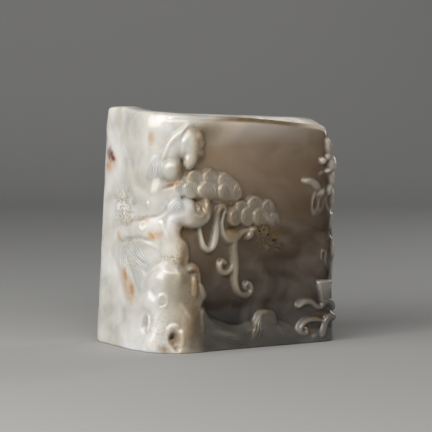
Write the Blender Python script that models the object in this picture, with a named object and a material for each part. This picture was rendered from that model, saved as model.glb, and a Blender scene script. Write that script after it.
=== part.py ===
"""Jade brush pot, carved from one block.

A hollow vessel on a rounded-rectangular base, one corner much rounder than the others. Its walls lean in a
little and its rim rises and falls. A pine tree on rocks wraps the round near corner and reaches over a sunk
ground on the front, with vines hanging from it, and fungus and leaves climb the right corner.

The carving is drawn in millimetres on an unrolled sheet. u runs round the wall from the middle of the near
corner, to the right along the front, and z runs up. The sheet is stretched to the vessel's girth and height.
"""
import math

import bpy
import numpy as np

# Vessel, in millimetres
BASE_WIDTH = 100.0
BASE_DEPTH = 63.3
HEIGHT = 111.8
WALL = 8.0
FLOOR = 10.0
CORNER_NEAR = 24.7
CORNER_RIGHT = 7.2
CORNER_BACK = 10.3
CORNER_LEFT = 9.3
INNER_CORNER_MIN = 4.0
LEAN_LEFT = 5.2
LEAN_RIGHT = 2.9
LEAN_FRONT = 1.4
LEAN_BACK = 2.4
RIM_ROUND = 1.6
MOUTH_ROUND = 1.4
FOOT_ROUND = 0.9
FLOOR_ROUND = 5.0

# Sunk ground of the front, in millimetres
GROUND_DEPTH = 3.8
GROUND_EDGE_SLOPE = 1.5
LEDGE_SLOPE = 4.5
LEDGE_TOP = 20.0
LEDGE_FADE = 8.0
RIM_BAND = 2.0
RIM_BAND_FADE = 15.0
GROUND_FADE_START = 58.0
GROUND_FADE_END = 91.0

# Least wall left under the deepest cut of the carving, and the rise of the rock on the near corner
CARVED_WALL_MIN = 1.6
ROCK_RISE = 1.5
ROCK_EDGE_SLOPE = 5.5
SWELL_CROWN = 1.5

# Size of the sheet that the carving is drawn on, and how much of it lies left of its zero
SHEET_GIRTH = 304.5
SHEET_HEIGHT = 111.8
SHEET_LEFT = 60.0

# Finish of the carved mesh
MM = 0.001
CARVING_GRAIN = 0.8
KEPT_FACES = 0.047
CUT_MARGIN = 3.0
MOUTH_OVERRUN = 0.3
FOOT_SLAB = 12.0
FLOOR_STEPS = 5
CORNER_STEPS = 7
SIDE_STEPS = 9
SHOULDER = 0.3
EDGE_STEPS = [0.0, 0.1, 0.35, 0.7, 1.0]
DOME_SIDES = 20
DOME_LEVELS = 9
DOME_LEVEL_MAX = 75.0
STEM_SIDES = 10
STEM_CAPS = [(-0.9, 0.45), (-0.55, 0.83)]

# Height of the rim at places round the sheet: (u, z)
RIM_LINE = [
    (-46.0, 111.4), (-37.0, 111.8), (-25.0, 111.0), (-14.0, 110.4), (0.0, 109.9), (20.0, 108.3),
    (50.0, 106.4), (72.0, 104.2), (86.0, 102.6), (93.0, 100.6), (101.0, 102.6), (114.0, 105.2),
    (152.0, 104.8), (201.0, 106.9), (232.0, 108.8), (248.0, 110.6),
]

# Edge of the sunk ground, along the ledge at the foot, over the rim and back down beside the tree and rocks
GROUND_OUTLINE = [
    (23.0, 14.5), (26.0, 11.6), (30.0, 9.6), (35.0, 7.6), (40.0, 7.0), (44.5, 7.2), (47.0, 8.2),
    (60.0, 8.2), (65.5, 6.4), (70.0, 4.2), (78.0, 2.9), (90.0, 2.8), (104.0, 3.2), (104.0, 130.0),
    (12.0, 130.0), (11.0, 104.0), (8.0, 96.0), (5.6, 89.0), (6.2, 82.0), (5.0, 77.0), (7.0, 70.0),
    (8.5, 62.0), (7.4, 57.5), (6.6, 55.0), (7.8, 52.0), (10.0, 49.8), (11.2, 46.5), (11.4, 43.0),
    (11.0, 41.0), (14.0, 40.3), (16.6, 38.6), (17.5, 35.5), (17.6, 32.0), (20.2, 28.4), (21.2, 26.0),
    (19.6, 23.6), (19.8, 20.5), (21.2, 17.5),
]

# Outline of the rock that the tree grows from
ROCK_OUTLINE = [
    (-10.5, -8.0), (-9.6, 6.0), (-6.6, 11.0), (-6.8, 16.0), (-10.2, 20.0), (-10.4, 28.0), (-9.0, 34.5),
    (-5.5, 39.5), (0.0, 42.6), (5.0, 41.8), (9.5, 41.0), (12.2, 38.0), (12.3, 31.0), (12.2, 25.0),
    (14.5, 21.0), (18.5, 18.0), (19.0, 12.0), (21.0, 6.0), (24.0, -8.0),
]

# Pod with a crossed surface on the right corner
POD_TOP = 1.4
POD_BEVEL = 0.9
POD_OUTLINE = [
    (83.4, 28.6), (86.8, 29.4), (91.0, 28.8), (90.0, 23.4), (88.8, 19.2), (85.2, 19.2), (84.4, 23.2),
]

# Peak on the ledge
PEAK_TOP = -0.9
PEAK_BEVEL = 2.6
PEAK_OUTLINE = [
    (45.0, 1.0), (46.4, 6.6), (48.8, 11.5), (50.7, 15.2), (52.8, 16.6), (56.2, 16.9), (59.7, 16.5),
    (61.7, 14.0), (62.6, 9.8), (64.8, 5.6), (67.0, 1.0),
]

# Flat beds of the needles: (outline, how far the top stands out, width of the softened edge)
FAN_BEDS = [
    ([(5.0, 71.0), (13.0, 70.4), (24.0, 69.8), (34.0, 68.8), (40.0, 69.2), (41.8, 72.0), (39.6, 77.0),
      (34.0, 80.2), (27.0, 82.4), (17.0, 83.0), (10.0, 81.6), (5.0, 79.6)], -1.5, 1.8),
    ([(34.4, 57.4), (44.0, 57.2), (53.0, 56.4), (60.0, 56.0), (62.4, 59.0), (60.4, 64.0), (55.0, 67.6),
      (47.0, 68.0), (40.0, 66.4), (35.0, 63.6)], -2.7, 2.4),
]

# Broad swells and hollows of the surface: (u, z, half length, half width, turn in degrees, rise)
SWELLS = [
    # trunk on the near corner, and the ridges of the rock it stands on
    (5.0, 50.0, 12.0, 7.0, 85.0, 1.2), (2.0, 31.0, 13.0, 7.0, 92.0, 1.1),
    (9.0, 30.0, 11.0, 5.0, 100.0, 0.5), (12.5, 12.0, 12.0, 4.5, 85.0, 0.9),
    (-3.0, 8.0, 9.0, 4.5, 80.0, 0.8),
    # branch and foliage in low relief on the left face
    (-10.0, 56.8, 15.0, 4.6, 10.0, 0.5), (-27.0, 54.4, 10.0, 3.2, 4.0, 0.4),
    (-20.0, 68.0, 14.0, 8.0, 16.0, 0.6), (-6.0, 72.5, 9.0, 7.0, 60.0, 0.9),
    (-6.6, 84.5, 6.5, 4.0, 84.0, 0.4), (-23.0, 45.0, 11.0, 5.5, -20.0, 0.4),
    (-14.0, 36.0, 10.0, 5.0, -50.0, 0.5), (-22.0, 8.0, 12.0, 5.0, 8.0, 0.5),
    # pierced hollows of the rock
    (5.8, 7.6, 5.6, 3.2, 92.0, -5.8), (-8.4, 13.2, 5.4, 3.0, 84.0, -2.8),
    (0.5, 23.6, 3.6, 2.8, 80.0, -1.6), (13.4, 37.0, 2.4, 1.8, 20.0, -2.2),
    (19.9, 21.8, 3.2, 1.6, 70.0, -1.6),
    # rocks round the foot of the hidden right side and back
    (112.0, 7.0, 16.0, 8.0, 0.0, 1.4), (137.0, 9.0, 13.0, 10.0, 0.0, 1.8),
    (178.0, 8.0, 18.0, 9.0, 4.0, 1.4), (205.0, 6.0, 14.0, 7.0, -4.0, 1.0),
    (228.0, 5.0, 12.0, 6.0, 0.0, 0.8),
]

# Fans of pine needles: (u, z, half width, half height, turn, how far the top stands out)
FAN_BLUNT = 0.36
FAN_TILT = 0.2
FRONT_FANS = [
    # upper cluster: the row behind, then the row in front
    (14.6, 79.8, 5.2, 4.0, -14.0, -1.2), (23.0, 79.6, 5.8, 4.3, -20.0, -1.2),
    (32.0, 77.4, 6.0, 4.3, -26.0, -1.5), (7.0, 75.6, 4.0, 4.0, 0.0, 0.0),
    (12.4, 74.8, 5.0, 4.3, -4.0, -0.5), (21.8, 74.0, 7.2, 4.7, -6.0, -0.7),
    (32.2, 72.9, 6.0, 4.7, -12.0, -1.0), (38.2, 72.4, 3.4, 4.2, -24.0, -1.5),
    # lower cluster: the row behind, then the row in front
    (42.2, 65.4, 4.6, 3.2, -16.0, -2.2), (50.4, 66.4, 6.0, 3.9, -18.0, -2.2),
    (58.4, 64.4, 5.2, 4.0, -24.0, -2.7), (37.8, 61.2, 4.4, 4.5, 0.0, -1.4),
    (45.2, 61.2, 4.9, 4.9, -14.0, -1.6), (53.2, 60.4, 6.0, 4.7, -14.0, -1.9),
    (61.6, 58.8, 4.4, 3.6, -22.0, -3.0),
]
SIDE_FANS = [
    (122.0, 66.0, 5.0, 4.8, 0.0, 1.4), (130.0, 67.5, 5.2, 4.8, 0.0, 1.4),
    (138.0, 64.5, 5.0, 4.6, 10.0, 1.4), (126.0, 60.0, 5.2, 4.6, 0.0, 2.0),
    (134.0, 59.5, 5.2, 4.6, 0.0, 2.0),
]
BACK_FANS = [
    (172.0, 70.0, 5.4, 4.8, 0.0, 1.2), (181.0, 72.0, 5.6, 4.8, 0.0, 1.2),
    (190.0, 70.0, 5.4, 4.8, 0.0, 1.2), (177.0, 64.0, 5.4, 4.6, 0.0, 1.7),
    (186.0, 64.5, 5.4, 4.6, 0.0, 1.7),
]
OUTER_FAN_SEAT = -0.8

# Lobes: (u, z, half length, half width, turn, how far the top stands out)
LOBE_BLUNT = 0.8
ROCK_BLUNT = 0.7
LEAF_LOBES = [
    # leaf at the top of the near corner: its long left fold, its lobed right side, and the round bud below
    (3.6, 95.0, 10.8, 5.2, 66.0, 1.3), (8.4, 96.2, 8.4, 5.2, 68.0, 1.4),
    (11.4, 95.4, 9.0, 5.0, 96.0, 2.0), (14.6, 98.8, 4.4, 3.0, 120.0, 1.4),
    (15.4, 95.4, 3.6, 2.8, 40.0, 1.4), (15.4, 91.8, 3.6, 2.6, -20.0, 1.2),
    (11.0, 88.8, 5.2, 3.8, 78.0, 1.8), (2.2, 84.2, 6.2, 5.0, 96.0, 2.3),
]
TREE_LOBES = [
    # knot where the branch leaves the trunk, the thick arm to its right and the arm's hooked end
    (5.2, 66.8, 5.2, 4.8, 20.0, 2.2), (10.0, 66.2, 8.0, 4.6, -12.0, 1.4),
    (20.0, 65.2, 6.4, 2.5, 92.0, 1.7), (31.0, 69.0, 9.0, 2.0, -8.0, -2.4),
    # end of the lower branch, the leaf that hangs from it and the brown pocket beyond
    (36.2, 52.6, 5.4, 3.0, -8.0, -0.6), (46.2, 52.6, 3.0, 2.0, 40.0, -1.0),
    (47.6, 55.0, 1.8, 1.4, 0.0, -0.6), (53.6, 54.6, 5.4, 3.4, -20.0, -3.0),
]
ROCK_LOBES = [
    # underside of the thick arm
    (12.6, 61.6, 9.8, 4.6, -2.0, 1.5),
    # broken fingers of the scholar's rock, and the rock on the ledge
    (14.6, 30.2, 6.6, 1.9, 93.0, 1.6), (18.5, 28.3, 4.9, 1.8, 112.0, 1.1),
    (14.0, 38.2, 3.6, 2.0, -8.0, 1.2), (66.0, 3.6, 6.0, 2.4, 150.0, -1.2),
    (81.5, 3.0, 3.0, 1.8, 10.0, 0.6),
]
CORNER_LOBES = [
    # fungus caps and leaves on the right corner
    (80.8, 76.0, 5.0, 1.8, -12.0, 0.4), (84.2, 74.4, 4.4, 2.4, -34.0, 0.6),
    (87.0, 71.2, 3.4, 1.6, 40.0, 0.7), (83.2, 66.0, 5.2, 2.2, 82.0, -0.3),
    (87.0, 66.6, 4.8, 2.1, 72.0, 0.0), (84.8, 61.8, 3.0, 1.6, 80.0, -0.3),
    (88.2, 85.9, 2.3, 2.1, 0.0, 1.9), (91.6, 92.6, 5.0, 2.2, 96.0, 2.2),
    (91.4, 87.6, 2.6, 1.8, 60.0, 2.2), (95.2, 84.6, 5.2, 3.6, 70.0, 4.2),
    (91.4, 81.4, 2.8, 1.5, 20.0, 2.2), (94.4, 77.0, 4.8, 2.6, 100.0, 2.8),
    (92.0, 72.0, 3.6, 2.0, 70.0, 1.8), (100.5, 92.0, 6.0, 3.2, -8.0, 3.4),
    (104.0, 80.0, 8.0, 4.2, 8.0, 3.8), (96.5, 68.5, 6.0, 3.0, 80.0, 2.6),
    (112.5, 88.5, 7.4, 4.0, 0.0, 3.2), (118.0, 77.0, 7.0, 4.2, 12.0, 2.8),
    (93.6, 57.0, 5.6, 2.6, 75.0, 1.7), (104.0, 56.0, 6.6, 3.6, -10.0, 2.2),
    (94.4, 44.0, 6.4, 2.2, 88.0, 1.9),
]
CORNER_SEAT = -1.9

# Stems: paths of (u, z, radius)
BRANCH_LIFT = 0.1
TWIG_LIFT = 0.9
CORNER_STEM_SEAT = -0.4
CORNER_STEM_LIFT = 0.2
BACK_STEM_LIFT = -0.2
BRANCH_PATHS = [
    [(5.6, 40.5, 4.6), (5.9, 46.0, 4.7), (4.6, 51.5, 4.0), (3.6, 57.0, 4.4), (5.6, 62.6, 5.0),
     (10.0, 64.0, 5.0)],
]
TWIG_PATHS = [
    # branch under the lower needles
    [(31.6, 63.5, 0.9), (30.2, 58.4, 1.1), (30.9, 53.8, 1.5), (34.2, 51.0, 2.0), (38.2, 51.6, 1.8),
     (42.2, 53.8, 1.2), (47.0, 54.8, 1.0), (52.0, 55.0, 0.8)],
    # looped vine beside the trunk
    [(16.8, 60.5, 0.9), (17.6, 56.5, 1.0), (18.9, 51.5, 1.1), (20.4, 48.2, 1.3), (22.8, 46.8, 1.4),
     (25.2, 48.2, 1.6), (26.3, 52.0, 1.7), (26.7, 57.0, 1.6), (27.1, 61.0, 1.4), (27.9, 64.3, 1.3),
     (29.7, 66.2, 1.2), (31.6, 65.8, 1.1), (32.8, 63.6, 0.9)],
    # vine hanging to a curl
    [(36.6, 51.0, 2.0), (37.2, 46.0, 1.9), (37.9, 42.0, 1.8), (38.1, 38.0, 1.7), (38.0, 34.0, 1.6),
     (38.2, 31.0, 1.5), (39.3, 27.5, 1.5), (41.6, 25.0, 1.4), (44.8, 24.3, 1.4), (47.2, 26.0, 1.3),
     (47.3, 28.8, 1.2), (45.3, 30.0, 1.1), (43.9, 28.5, 1.0), (45.0, 27.2, 0.9)],
    # second curl, turned back to the left
    [(36.8, 43.0, 1.1), (36.9, 39.5, 1.2), (35.6, 36.7, 1.2), (33.0, 35.6, 1.2), (30.5, 36.6, 1.2),
     (29.6, 39.0, 1.2), (30.8, 41.0, 1.2), (32.6, 40.2, 1.1)],
]
CORNER_PATHS = [
    # stems between the caps
    [(86.4, 79.6, 0.6), (89.4, 80.6, 0.8), (91.6, 79.0, 0.9), (93.0, 75.0, 1.0), (91.2, 72.4, 0.9),
     (89.6, 71.4, 0.7)],
    [(90.6, 70.4, 0.7), (89.6, 66.8, 0.8), (90.8, 63.0, 0.8), (92.6, 60.0, 0.8)],
    # thin stem on the right corner
    [(86.2, 39.4, 0.5), (86.1, 41.5, 0.6), (86.7, 43.2, 0.7), (88.0, 43.4, 0.7), (88.7, 42.0, 0.7),
     (88.2, 39.4, 0.7), (89.1, 36.8, 0.7), (90.8, 34.0, 0.8), (90.2, 31.0, 0.8), (89.6, 29.0, 0.8)],
    # stem under the pod, running left to a rounded tip
    [(73.3, 17.9, 1.0), (76.0, 19.4, 1.2), (79.6, 19.2, 1.2), (82.6, 17.2, 1.2), (85.0, 16.8, 1.3),
     (87.2, 19.0, 1.5), (89.8, 19.4, 1.6), (95.0, 16.0, 1.8)],
    # wave-like curl at the foot
    [(86.0, 10.0, 0.9), (82.4, 11.0, 1.0), (78.6, 10.8, 1.1), (75.4, 9.6, 1.1), (73.6, 7.4, 1.1),
     (73.9, 5.2, 1.0), (75.9, 4.5, 0.9), (77.4, 5.6, 0.8), (76.6, 7.2, 0.7)],
    # rounded stem that turns the corner
    [(85.4, 3.6, 1.5), (86.3, 6.6, 1.7), (88.0, 10.6, 1.7), (91.6, 12.4, 1.8), (97.0, 10.8, 2.0),
     (104.0, 9.0, 2.6)],
    # stems of the fungus on the right side
    [(108.0, 8.0, 2.6), (103.0, 22.0, 2.2), (98.5, 34.0, 1.8), (97.0, 48.0, 1.7), (99.0, 62.0, 1.8),
     (104.0, 78.0, 1.9)],
    [(103.5, 24.0, 2.0), (111.0, 38.0, 1.8), (117.0, 52.0, 1.8), (118.0, 66.0, 1.7), (118.0, 78.0, 1.6)],
    [(116.5, 50.0, 1.7), (124.0, 56.0, 1.8), (132.0, 57.0, 1.6)],
]
BACK_PATHS = [
    [(150.0, 6.0, 2.8), (156.0, 22.0, 2.6), (160.0, 38.0, 2.3), (166.0, 50.0, 2.1), (175.0, 58.0, 1.9),
     (187.0, 60.0, 1.6)],
    [(168.0, 52.0, 1.5), (178.0, 49.0, 1.4), (188.0, 46.0, 1.3), (193.0, 41.0, 1.2), (190.0, 36.5, 1.1),
     (186.5, 39.0, 1.0)],
]


def clear_scene():
    for item in list(bpy.data.objects):
        bpy.data.objects.remove(item, do_unlink=True)


def side_lengths():
    """Lengths of the corners and straight sides at the foot, from the start of the near corner."""
    quarter = math.pi / 2
    return [
        CORNER_NEAR * quarter, BASE_WIDTH - CORNER_NEAR - CORNER_RIGHT,
        CORNER_RIGHT * quarter, BASE_DEPTH - CORNER_RIGHT - CORNER_BACK,
        CORNER_BACK * quarter, BASE_WIDTH - CORNER_BACK - CORNER_LEFT,
        CORNER_LEFT * quarter, BASE_DEPTH - CORNER_LEFT - CORNER_NEAR,
    ]


def on_wall(u, z, out):
    """Points, in millimetres, at u and z of the sheet and a distance out from the plain wall."""
    u, z, out = np.broadcast_arrays(np.asarray(u, float), np.asarray(z, float), np.asarray(out, float))
    lengths = side_lengths()
    girth = sum(lengths)
    start = -lengths[0] / 2
    edges = np.cumsum([start] + lengths)
    along = (u * girth / SHEET_GIRTH - start) % girth + start
    height = z * HEIGHT / SHEET_HEIGHT
    share = height / HEIGHT
    left = -BASE_WIDTH / 2 + LEAN_LEFT * share - out
    right = BASE_WIDTH / 2 - LEAN_RIGHT * share + out
    front = -BASE_DEPTH / 2 + LEAN_FRONT * share - out
    back = BASE_DEPTH / 2 - LEAN_BACK * share + out
    near_r, right_r, back_r, left_r = [
        np.maximum(radius + out, INNER_CORNER_MIN)
        for radius in (CORNER_NEAR, CORNER_RIGHT, CORNER_BACK, CORNER_LEFT)
    ]
    corners = [
        (left + near_r, front + near_r, near_r, 180.0), (right - right_r, front + right_r, right_r, 270.0),
        (right - back_r, back - back_r, back_r, 0.0), (left + left_r, back - left_r, left_r, 90.0),
    ]
    side = np.clip(np.searchsorted(edges, along, side="right") - 1, 0, 7)
    part = (along - edges[side]) / np.asarray(lengths)[side]
    x = np.zeros(u.shape)
    y = np.zeros(u.shape)
    for i, (cx, cy, radius, turn) in enumerate(corners):
        nx, ny, next_radius = corners[(i + 1) % 4][:3]
        angle = np.radians(turn + 90.0 * part)
        arc = side == 2 * i
        x[arc] = (cx + radius * np.cos(angle))[arc]
        y[arc] = (cy + radius * np.sin(angle))[arc]
        run = side == 2 * i + 1
        leave = math.radians(turn + 90.0)
        x_from = cx + radius * math.cos(leave)
        y_from = cy + radius * math.sin(leave)
        x_to = nx + next_radius * math.cos(leave)
        y_to = ny + next_radius * math.sin(leave)
        x[run] = (x_from + part * (x_to - x_from))[run]
        y[run] = (y_from + part * (y_to - y_from))[run]
    return np.stack([x, y, height], axis=-1)


def curve_through(points, step, closed=False):
    """Points about a step apart on a smooth curve through the given ones."""
    given = np.asarray(points, float)
    count = len(given)
    found = []
    for i in range(count if closed else count - 1):
        if closed:
            a, b, c, d = [given[(i + k) % count] for k in (-1, 0, 1, 2)]
        else:
            a, b, c, d = [given[min(max(i + k, 0), count - 1)] for k in (-1, 0, 1, 2)]
        pieces = max(1, round(math.dist(b[:2], c[:2]) / step))
        for k in range(pieces):
            t = k / pieces
            found.append(0.5 * (2 * b + (c - a) * t + (2 * a - 5 * b + 4 * c - d) * t ** 2
                                + (3 * b - a - 3 * c + d) * t ** 3))
    if not closed:
        found.append(given[-1])
    return np.array(found)


def rim_height(u):
    """Height of the rim at u, on the sheet, as a smooth curve through the rim's heights."""
    first = RIM_LINE[0][0]
    places = [(u0 + turn * SHEET_GIRTH, z0) for turn in (-1, 0, 1) for u0, z0 in RIM_LINE]
    line = curve_through(places, 2.0)
    return np.interp((np.asarray(u, float) - first) % SHEET_GIRTH + first, line[:, 0], line[:, 1])


def ease(value):
    """Smooth step from 0 to 1."""
    value = np.clip(value, 0.0, 1.0)
    return value * value * (3.0 - 2.0 * value)


def distance_inside(u, z, outline):
    """Distance of each point from a closed outline, positive inside it."""
    nearest = np.full(u.shape, np.inf)
    inside = np.zeros(u.shape, bool)
    for a, b in zip(outline, np.roll(outline, -1, axis=0)):
        edge = b - a
        t = np.clip(((u - a[0]) * edge[0] + (z - a[1]) * edge[1]) / max(edge @ edge, 1e-9), 0.0, 1.0)
        nearest = np.minimum(nearest, np.hypot(u - a[0] - t * edge[0], z - a[1] - t * edge[1]))
        if a[1] != b[1]:
            crossing = a[0] + (z - a[1]) * edge[0] / edge[1]
            inside ^= ((a[1] > z) != (b[1] > z)) & (u < crossing)
    return np.where(inside, nearest, -nearest)


def abreast(u, outline):
    """Which points lie between an outline's left and right ends."""
    return (u > outline[:, 0].min()) & (u < outline[:, 0].max())


def ground(u, z):
    """How far the ground lies out from the plain wall: sunk on the front, with soft swells elsewhere."""
    outline = curve_through(GROUND_OUTLINE, 1.5, closed=True)
    near = abreast(u, outline)
    depth = np.zeros(u.shape)
    soft = ease((LEDGE_TOP - z[near]) / LEDGE_FADE)
    slope = GROUND_EDGE_SLOPE + (LEDGE_SLOPE - GROUND_EDGE_SLOPE) * soft
    depth[near] = ease(distance_inside(u[near], z[near], outline) / slope)
    depth *= ease((rim_height(u) - z - RIM_BAND) / RIM_BAND_FADE)
    depth *= 1.0 - ease((u - GROUND_FADE_START) / (GROUND_FADE_END - GROUND_FADE_START))
    out = -GROUND_DEPTH * depth
    rock = curve_through(ROCK_OUTLINE, 1.5, closed=True)
    near = abreast(u, rock)
    inside = distance_inside(u[near], z[near], rock)
    out[near] += ROCK_RISE * ease(inside / ROCK_EDGE_SLOPE) * (1.0 - depth[near])
    for centre_u, centre_z, length, width, turn, rise in SWELLS:
        cos, sin = math.cos(math.radians(turn)), math.sin(math.radians(turn))
        along = ((u - centre_u) * cos + (z - centre_z) * sin) / length
        across = ((z - centre_z) * cos - (u - centre_u) * sin) / width
        out += rise * np.clip(1.0 - along ** 2 - across ** 2, 0.0, 1.0) ** SWELL_CROWN
    return out


def round_off(distance, radius):
    """How far a rounded edge draws back at a distance from the edge."""
    within = np.clip(radius - distance, 0.0, radius)
    return radius - np.sqrt(radius ** 2 - within ** 2)


class Sheet:
    """Collects closed meshes drawn on the sheet, and wraps them round the vessel."""

    def __init__(self):
        self.points = []
        self.faces = []

    def add(self, points, faces):
        first = len(self.points)
        self.points.extend(points.tolist())
        self.faces.extend([[first + i for i in face] for face in faces])

    def grid(self, points, ends):
        """A closed skin over rows of points, each a ring, with an end point at both ends."""
        rows, columns = points.shape[:2]
        faces = []
        for r in range(rows - 1):
            for c in range(columns):
                d = (c + 1) % columns
                faces.append((r * columns + c, r * columns + d, (r + 1) * columns + d, (r + 1) * columns + c))
        low, high = rows * columns, rows * columns + 1
        for c in range(columns):
            d = (c + 1) % columns
            faces.append((d, c, low))
            faces.append(((rows - 1) * columns + c, (rows - 1) * columns + d, high))
        self.add(np.vstack([points.reshape(-1, 3), np.array(ends)]), faces)

    def dome(self, lobe, seat, blunt, tilt=0.0):
        """A rounded lobe on a seat. A blunt below 1 squares its shoulders, and a tilt lifts its left."""
        u, z, length, width, turn, top = lobe
        rise = top - seat
        cos, sin = math.cos(math.radians(turn)), math.sin(math.radians(turn))
        rows = []
        for level in np.radians(np.linspace(-DOME_LEVEL_MAX, DOME_LEVEL_MAX, DOME_LEVELS)):
            reach = math.cos(level) ** blunt
            lift = seat + rise * math.copysign(abs(math.sin(level)) ** blunt, level)
            ring = []
            for k in range(DOME_SIDES):
                angle = 2 * math.pi * k / DOME_SIDES
                a = length * reach * math.cos(angle)
                b = width * reach * math.sin(angle)
                ring.append((u + a * cos - b * sin, z + a * sin + b * cos, lift - tilt * a))
            rows.append(ring)
        rows = np.array(rows)
        self.wrap_grid(rows, [(u, z, seat - rise), (u, z, seat + rise)])

    def plate(self, outline, top, seat, bevel):
        """A flat form with softened edges over a closed outline, which has no hollow side."""
        edge = curve_through(outline, 1.0, closed=True)
        middle = edge.mean(axis=0)
        rows = []
        shoulder = SHOULDER * bevel
        for inset, lift in ((0.0, seat), (0.0, top - bevel), (shoulder, top - shoulder), (bevel, top)):
            away = edge - middle
            reach = np.linalg.norm(away, axis=1)[:, None]
            ring = middle + away * (1.0 - inset / reach)
            rows.append(np.column_stack([ring, np.full(len(edge), lift)]))
        self.wrap_grid(np.array(rows), [(*middle, seat), (*middle, top)])

    def stem(self, path, seat, lift):
        """A round stem along a path of (u, z, radius), whose middle stands lift radii off the seat."""
        line = curve_through(path, 1.0)
        way = np.gradient(line[:, :2], axis=0)
        way /= np.linalg.norm(way, axis=1)[:, None]
        rows = []
        ends = []
        stations = [(line[0], way[0], back, size) for back, size in STEM_CAPS]
        stations += [(point, heading, 0.0, 1.0) for point, heading in zip(line, way)]
        stations += [(line[-1], way[-1], -back, size) for back, size in reversed(STEM_CAPS)]
        for (u, z, radius), (du, dz), shift, size in stations:
            ring = []
            along = shift * radius
            for k in range(STEM_SIDES):
                angle = 2 * math.pi * k / STEM_SIDES
                side = radius * size * math.cos(angle)
                rise = radius * (lift + size * math.sin(angle))
                ring.append((u + du * along + dz * side, z + dz * along - du * side, seat + rise))
            rows.append(ring)
        for (u, z, radius), (du, dz), shift in ((line[0], way[0], -1.0), (line[-1], way[-1], 1.0)):
            ends.append((u + du * shift * radius, z + dz * shift * radius, seat + radius * lift))
        self.wrap_grid(np.array(rows), ends)

    def wrap_grid(self, rows, ends):
        """Wraps a drawn grid round the vessel, and leaves the least wall under it."""
        deepest = CARVED_WALL_MIN - WALL
        rows[..., 2] = np.maximum(rows[..., 2], deepest)
        ends = np.array(ends, float)
        ends[:, 2] = np.maximum(ends[:, 2], deepest)
        wrapped = on_wall(rows[..., 0], rows[..., 1], rows[..., 2])
        self.grid(wrapped, on_wall(ends[:, 0], ends[:, 1], ends[:, 2]))


def add_block(sheet):
    """The block before it is hollowed: foot, carved ground and rounded rim. It runs on below the foot."""
    columns = round(SHEET_GIRTH / CARVING_GRAIN)
    u = np.linspace(0.0, SHEET_GIRTH, columns, endpoint=False)
    u = np.where(u > SHEET_GIRTH - SHEET_LEFT, u - SHEET_GIRTH, u)
    rim = rim_height(u)
    rows = []
    levels = [np.full(columns, -CUT_MARGIN)]
    levels += [FOOT_ROUND * step + 0.0 * u for step in EDGE_STEPS]
    count = round(SHEET_HEIGHT / CARVING_GRAIN)
    for k in range(1, count):
        levels.append(FOOT_ROUND + (rim - RIM_ROUND - FOOT_ROUND) * k / count)
    levels += [rim - RIM_ROUND * step for step in reversed(EDGE_STEPS)]
    for z in levels:
        out = ground(u, z) - round_off(np.maximum(z, 0.0), FOOT_ROUND) - round_off(rim - z, RIM_ROUND)
        rows.append(on_wall(u, z, out))
    rows.append(on_wall(u, rim, -WALL - MOUTH_ROUND))
    rows = np.array(rows)
    ends = [(0.0, 0.0, -CUT_MARGIN), (0.0, 0.0, HEIGHT)]
    sheet.grid(rows, ends)


def build_mesh(name, points, faces):
    mesh = bpy.data.meshes.new(name)
    mesh.from_pydata((np.asarray(points) * MM).tolist(), [], faces)
    mesh.validate()
    mesh.update()
    return mesh


def add_object(name, mesh):
    item = bpy.data.objects.new(name, mesh)
    bpy.context.scene.collection.objects.link(item)
    return item


def make_cutter(name, sheet):
    cutter = add_object(name, build_mesh(name, sheet.points, sheet.faces))
    cutter.display_type = "WIRE"
    cutter.hide_render = True
    return cutter


def cavity_cutter():
    """The hollow: a rounded floor, plain walls and a softly opened mouth that follows the rim."""
    lengths = side_lengths()
    girth = sum(lengths)
    u = []
    edges = np.cumsum([-lengths[0] / 2] + lengths) * SHEET_GIRTH / girth
    for i in range(8):
        steps = CORNER_STEPS if i % 2 == 0 else SIDE_STEPS
        u.extend(np.linspace(edges[i], edges[i + 1], steps)[:-1])
    u = np.array(u)
    to_sheet = SHEET_HEIGHT / HEIGHT
    rim = rim_height(u)
    rows = []
    for step in np.linspace(0.0, math.pi / 2, FLOOR_STEPS):
        z = (FLOOR + FLOOR_ROUND * (1 - math.cos(step))) * to_sheet
        rows.append(on_wall(u, z, -WALL - FLOOR_ROUND * (1 - math.sin(step))))
    rows.append(on_wall(u, rim - MOUTH_ROUND, -WALL))
    rows.append(on_wall(u, rim - MOUTH_ROUND * SHOULDER, -WALL + MOUTH_ROUND * SHOULDER))
    rows.append(on_wall(u, rim + MOUTH_OVERRUN, -WALL + MOUTH_ROUND))
    rows.append(on_wall(u, rim + CUT_MARGIN, -WALL + MOUTH_ROUND))
    sheet = Sheet()
    sheet.grid(np.array(rows), [(0.0, 0.0, FLOOR), (0.0, 0.0, HEIGHT + CUT_MARGIN)])
    return make_cutter("cavity_cutter", sheet)


def foot_cutter():
    """A slab that trims the foot flat."""
    half_x = BASE_WIDTH
    half_y = BASE_DEPTH
    corners = [(-half_x, -half_y), (half_x, -half_y), (half_x, half_y), (-half_x, half_y)]
    sheet = Sheet()
    rows = np.array([[(x, y, z) for x, y in corners] for z in (-FOOT_SLAB, 0.0)])
    sheet.grid(rows, [(0.0, 0.0, -FOOT_SLAB), (0.0, 0.0, 0.0)])
    return make_cutter("foot_cutter", sheet)


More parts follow.
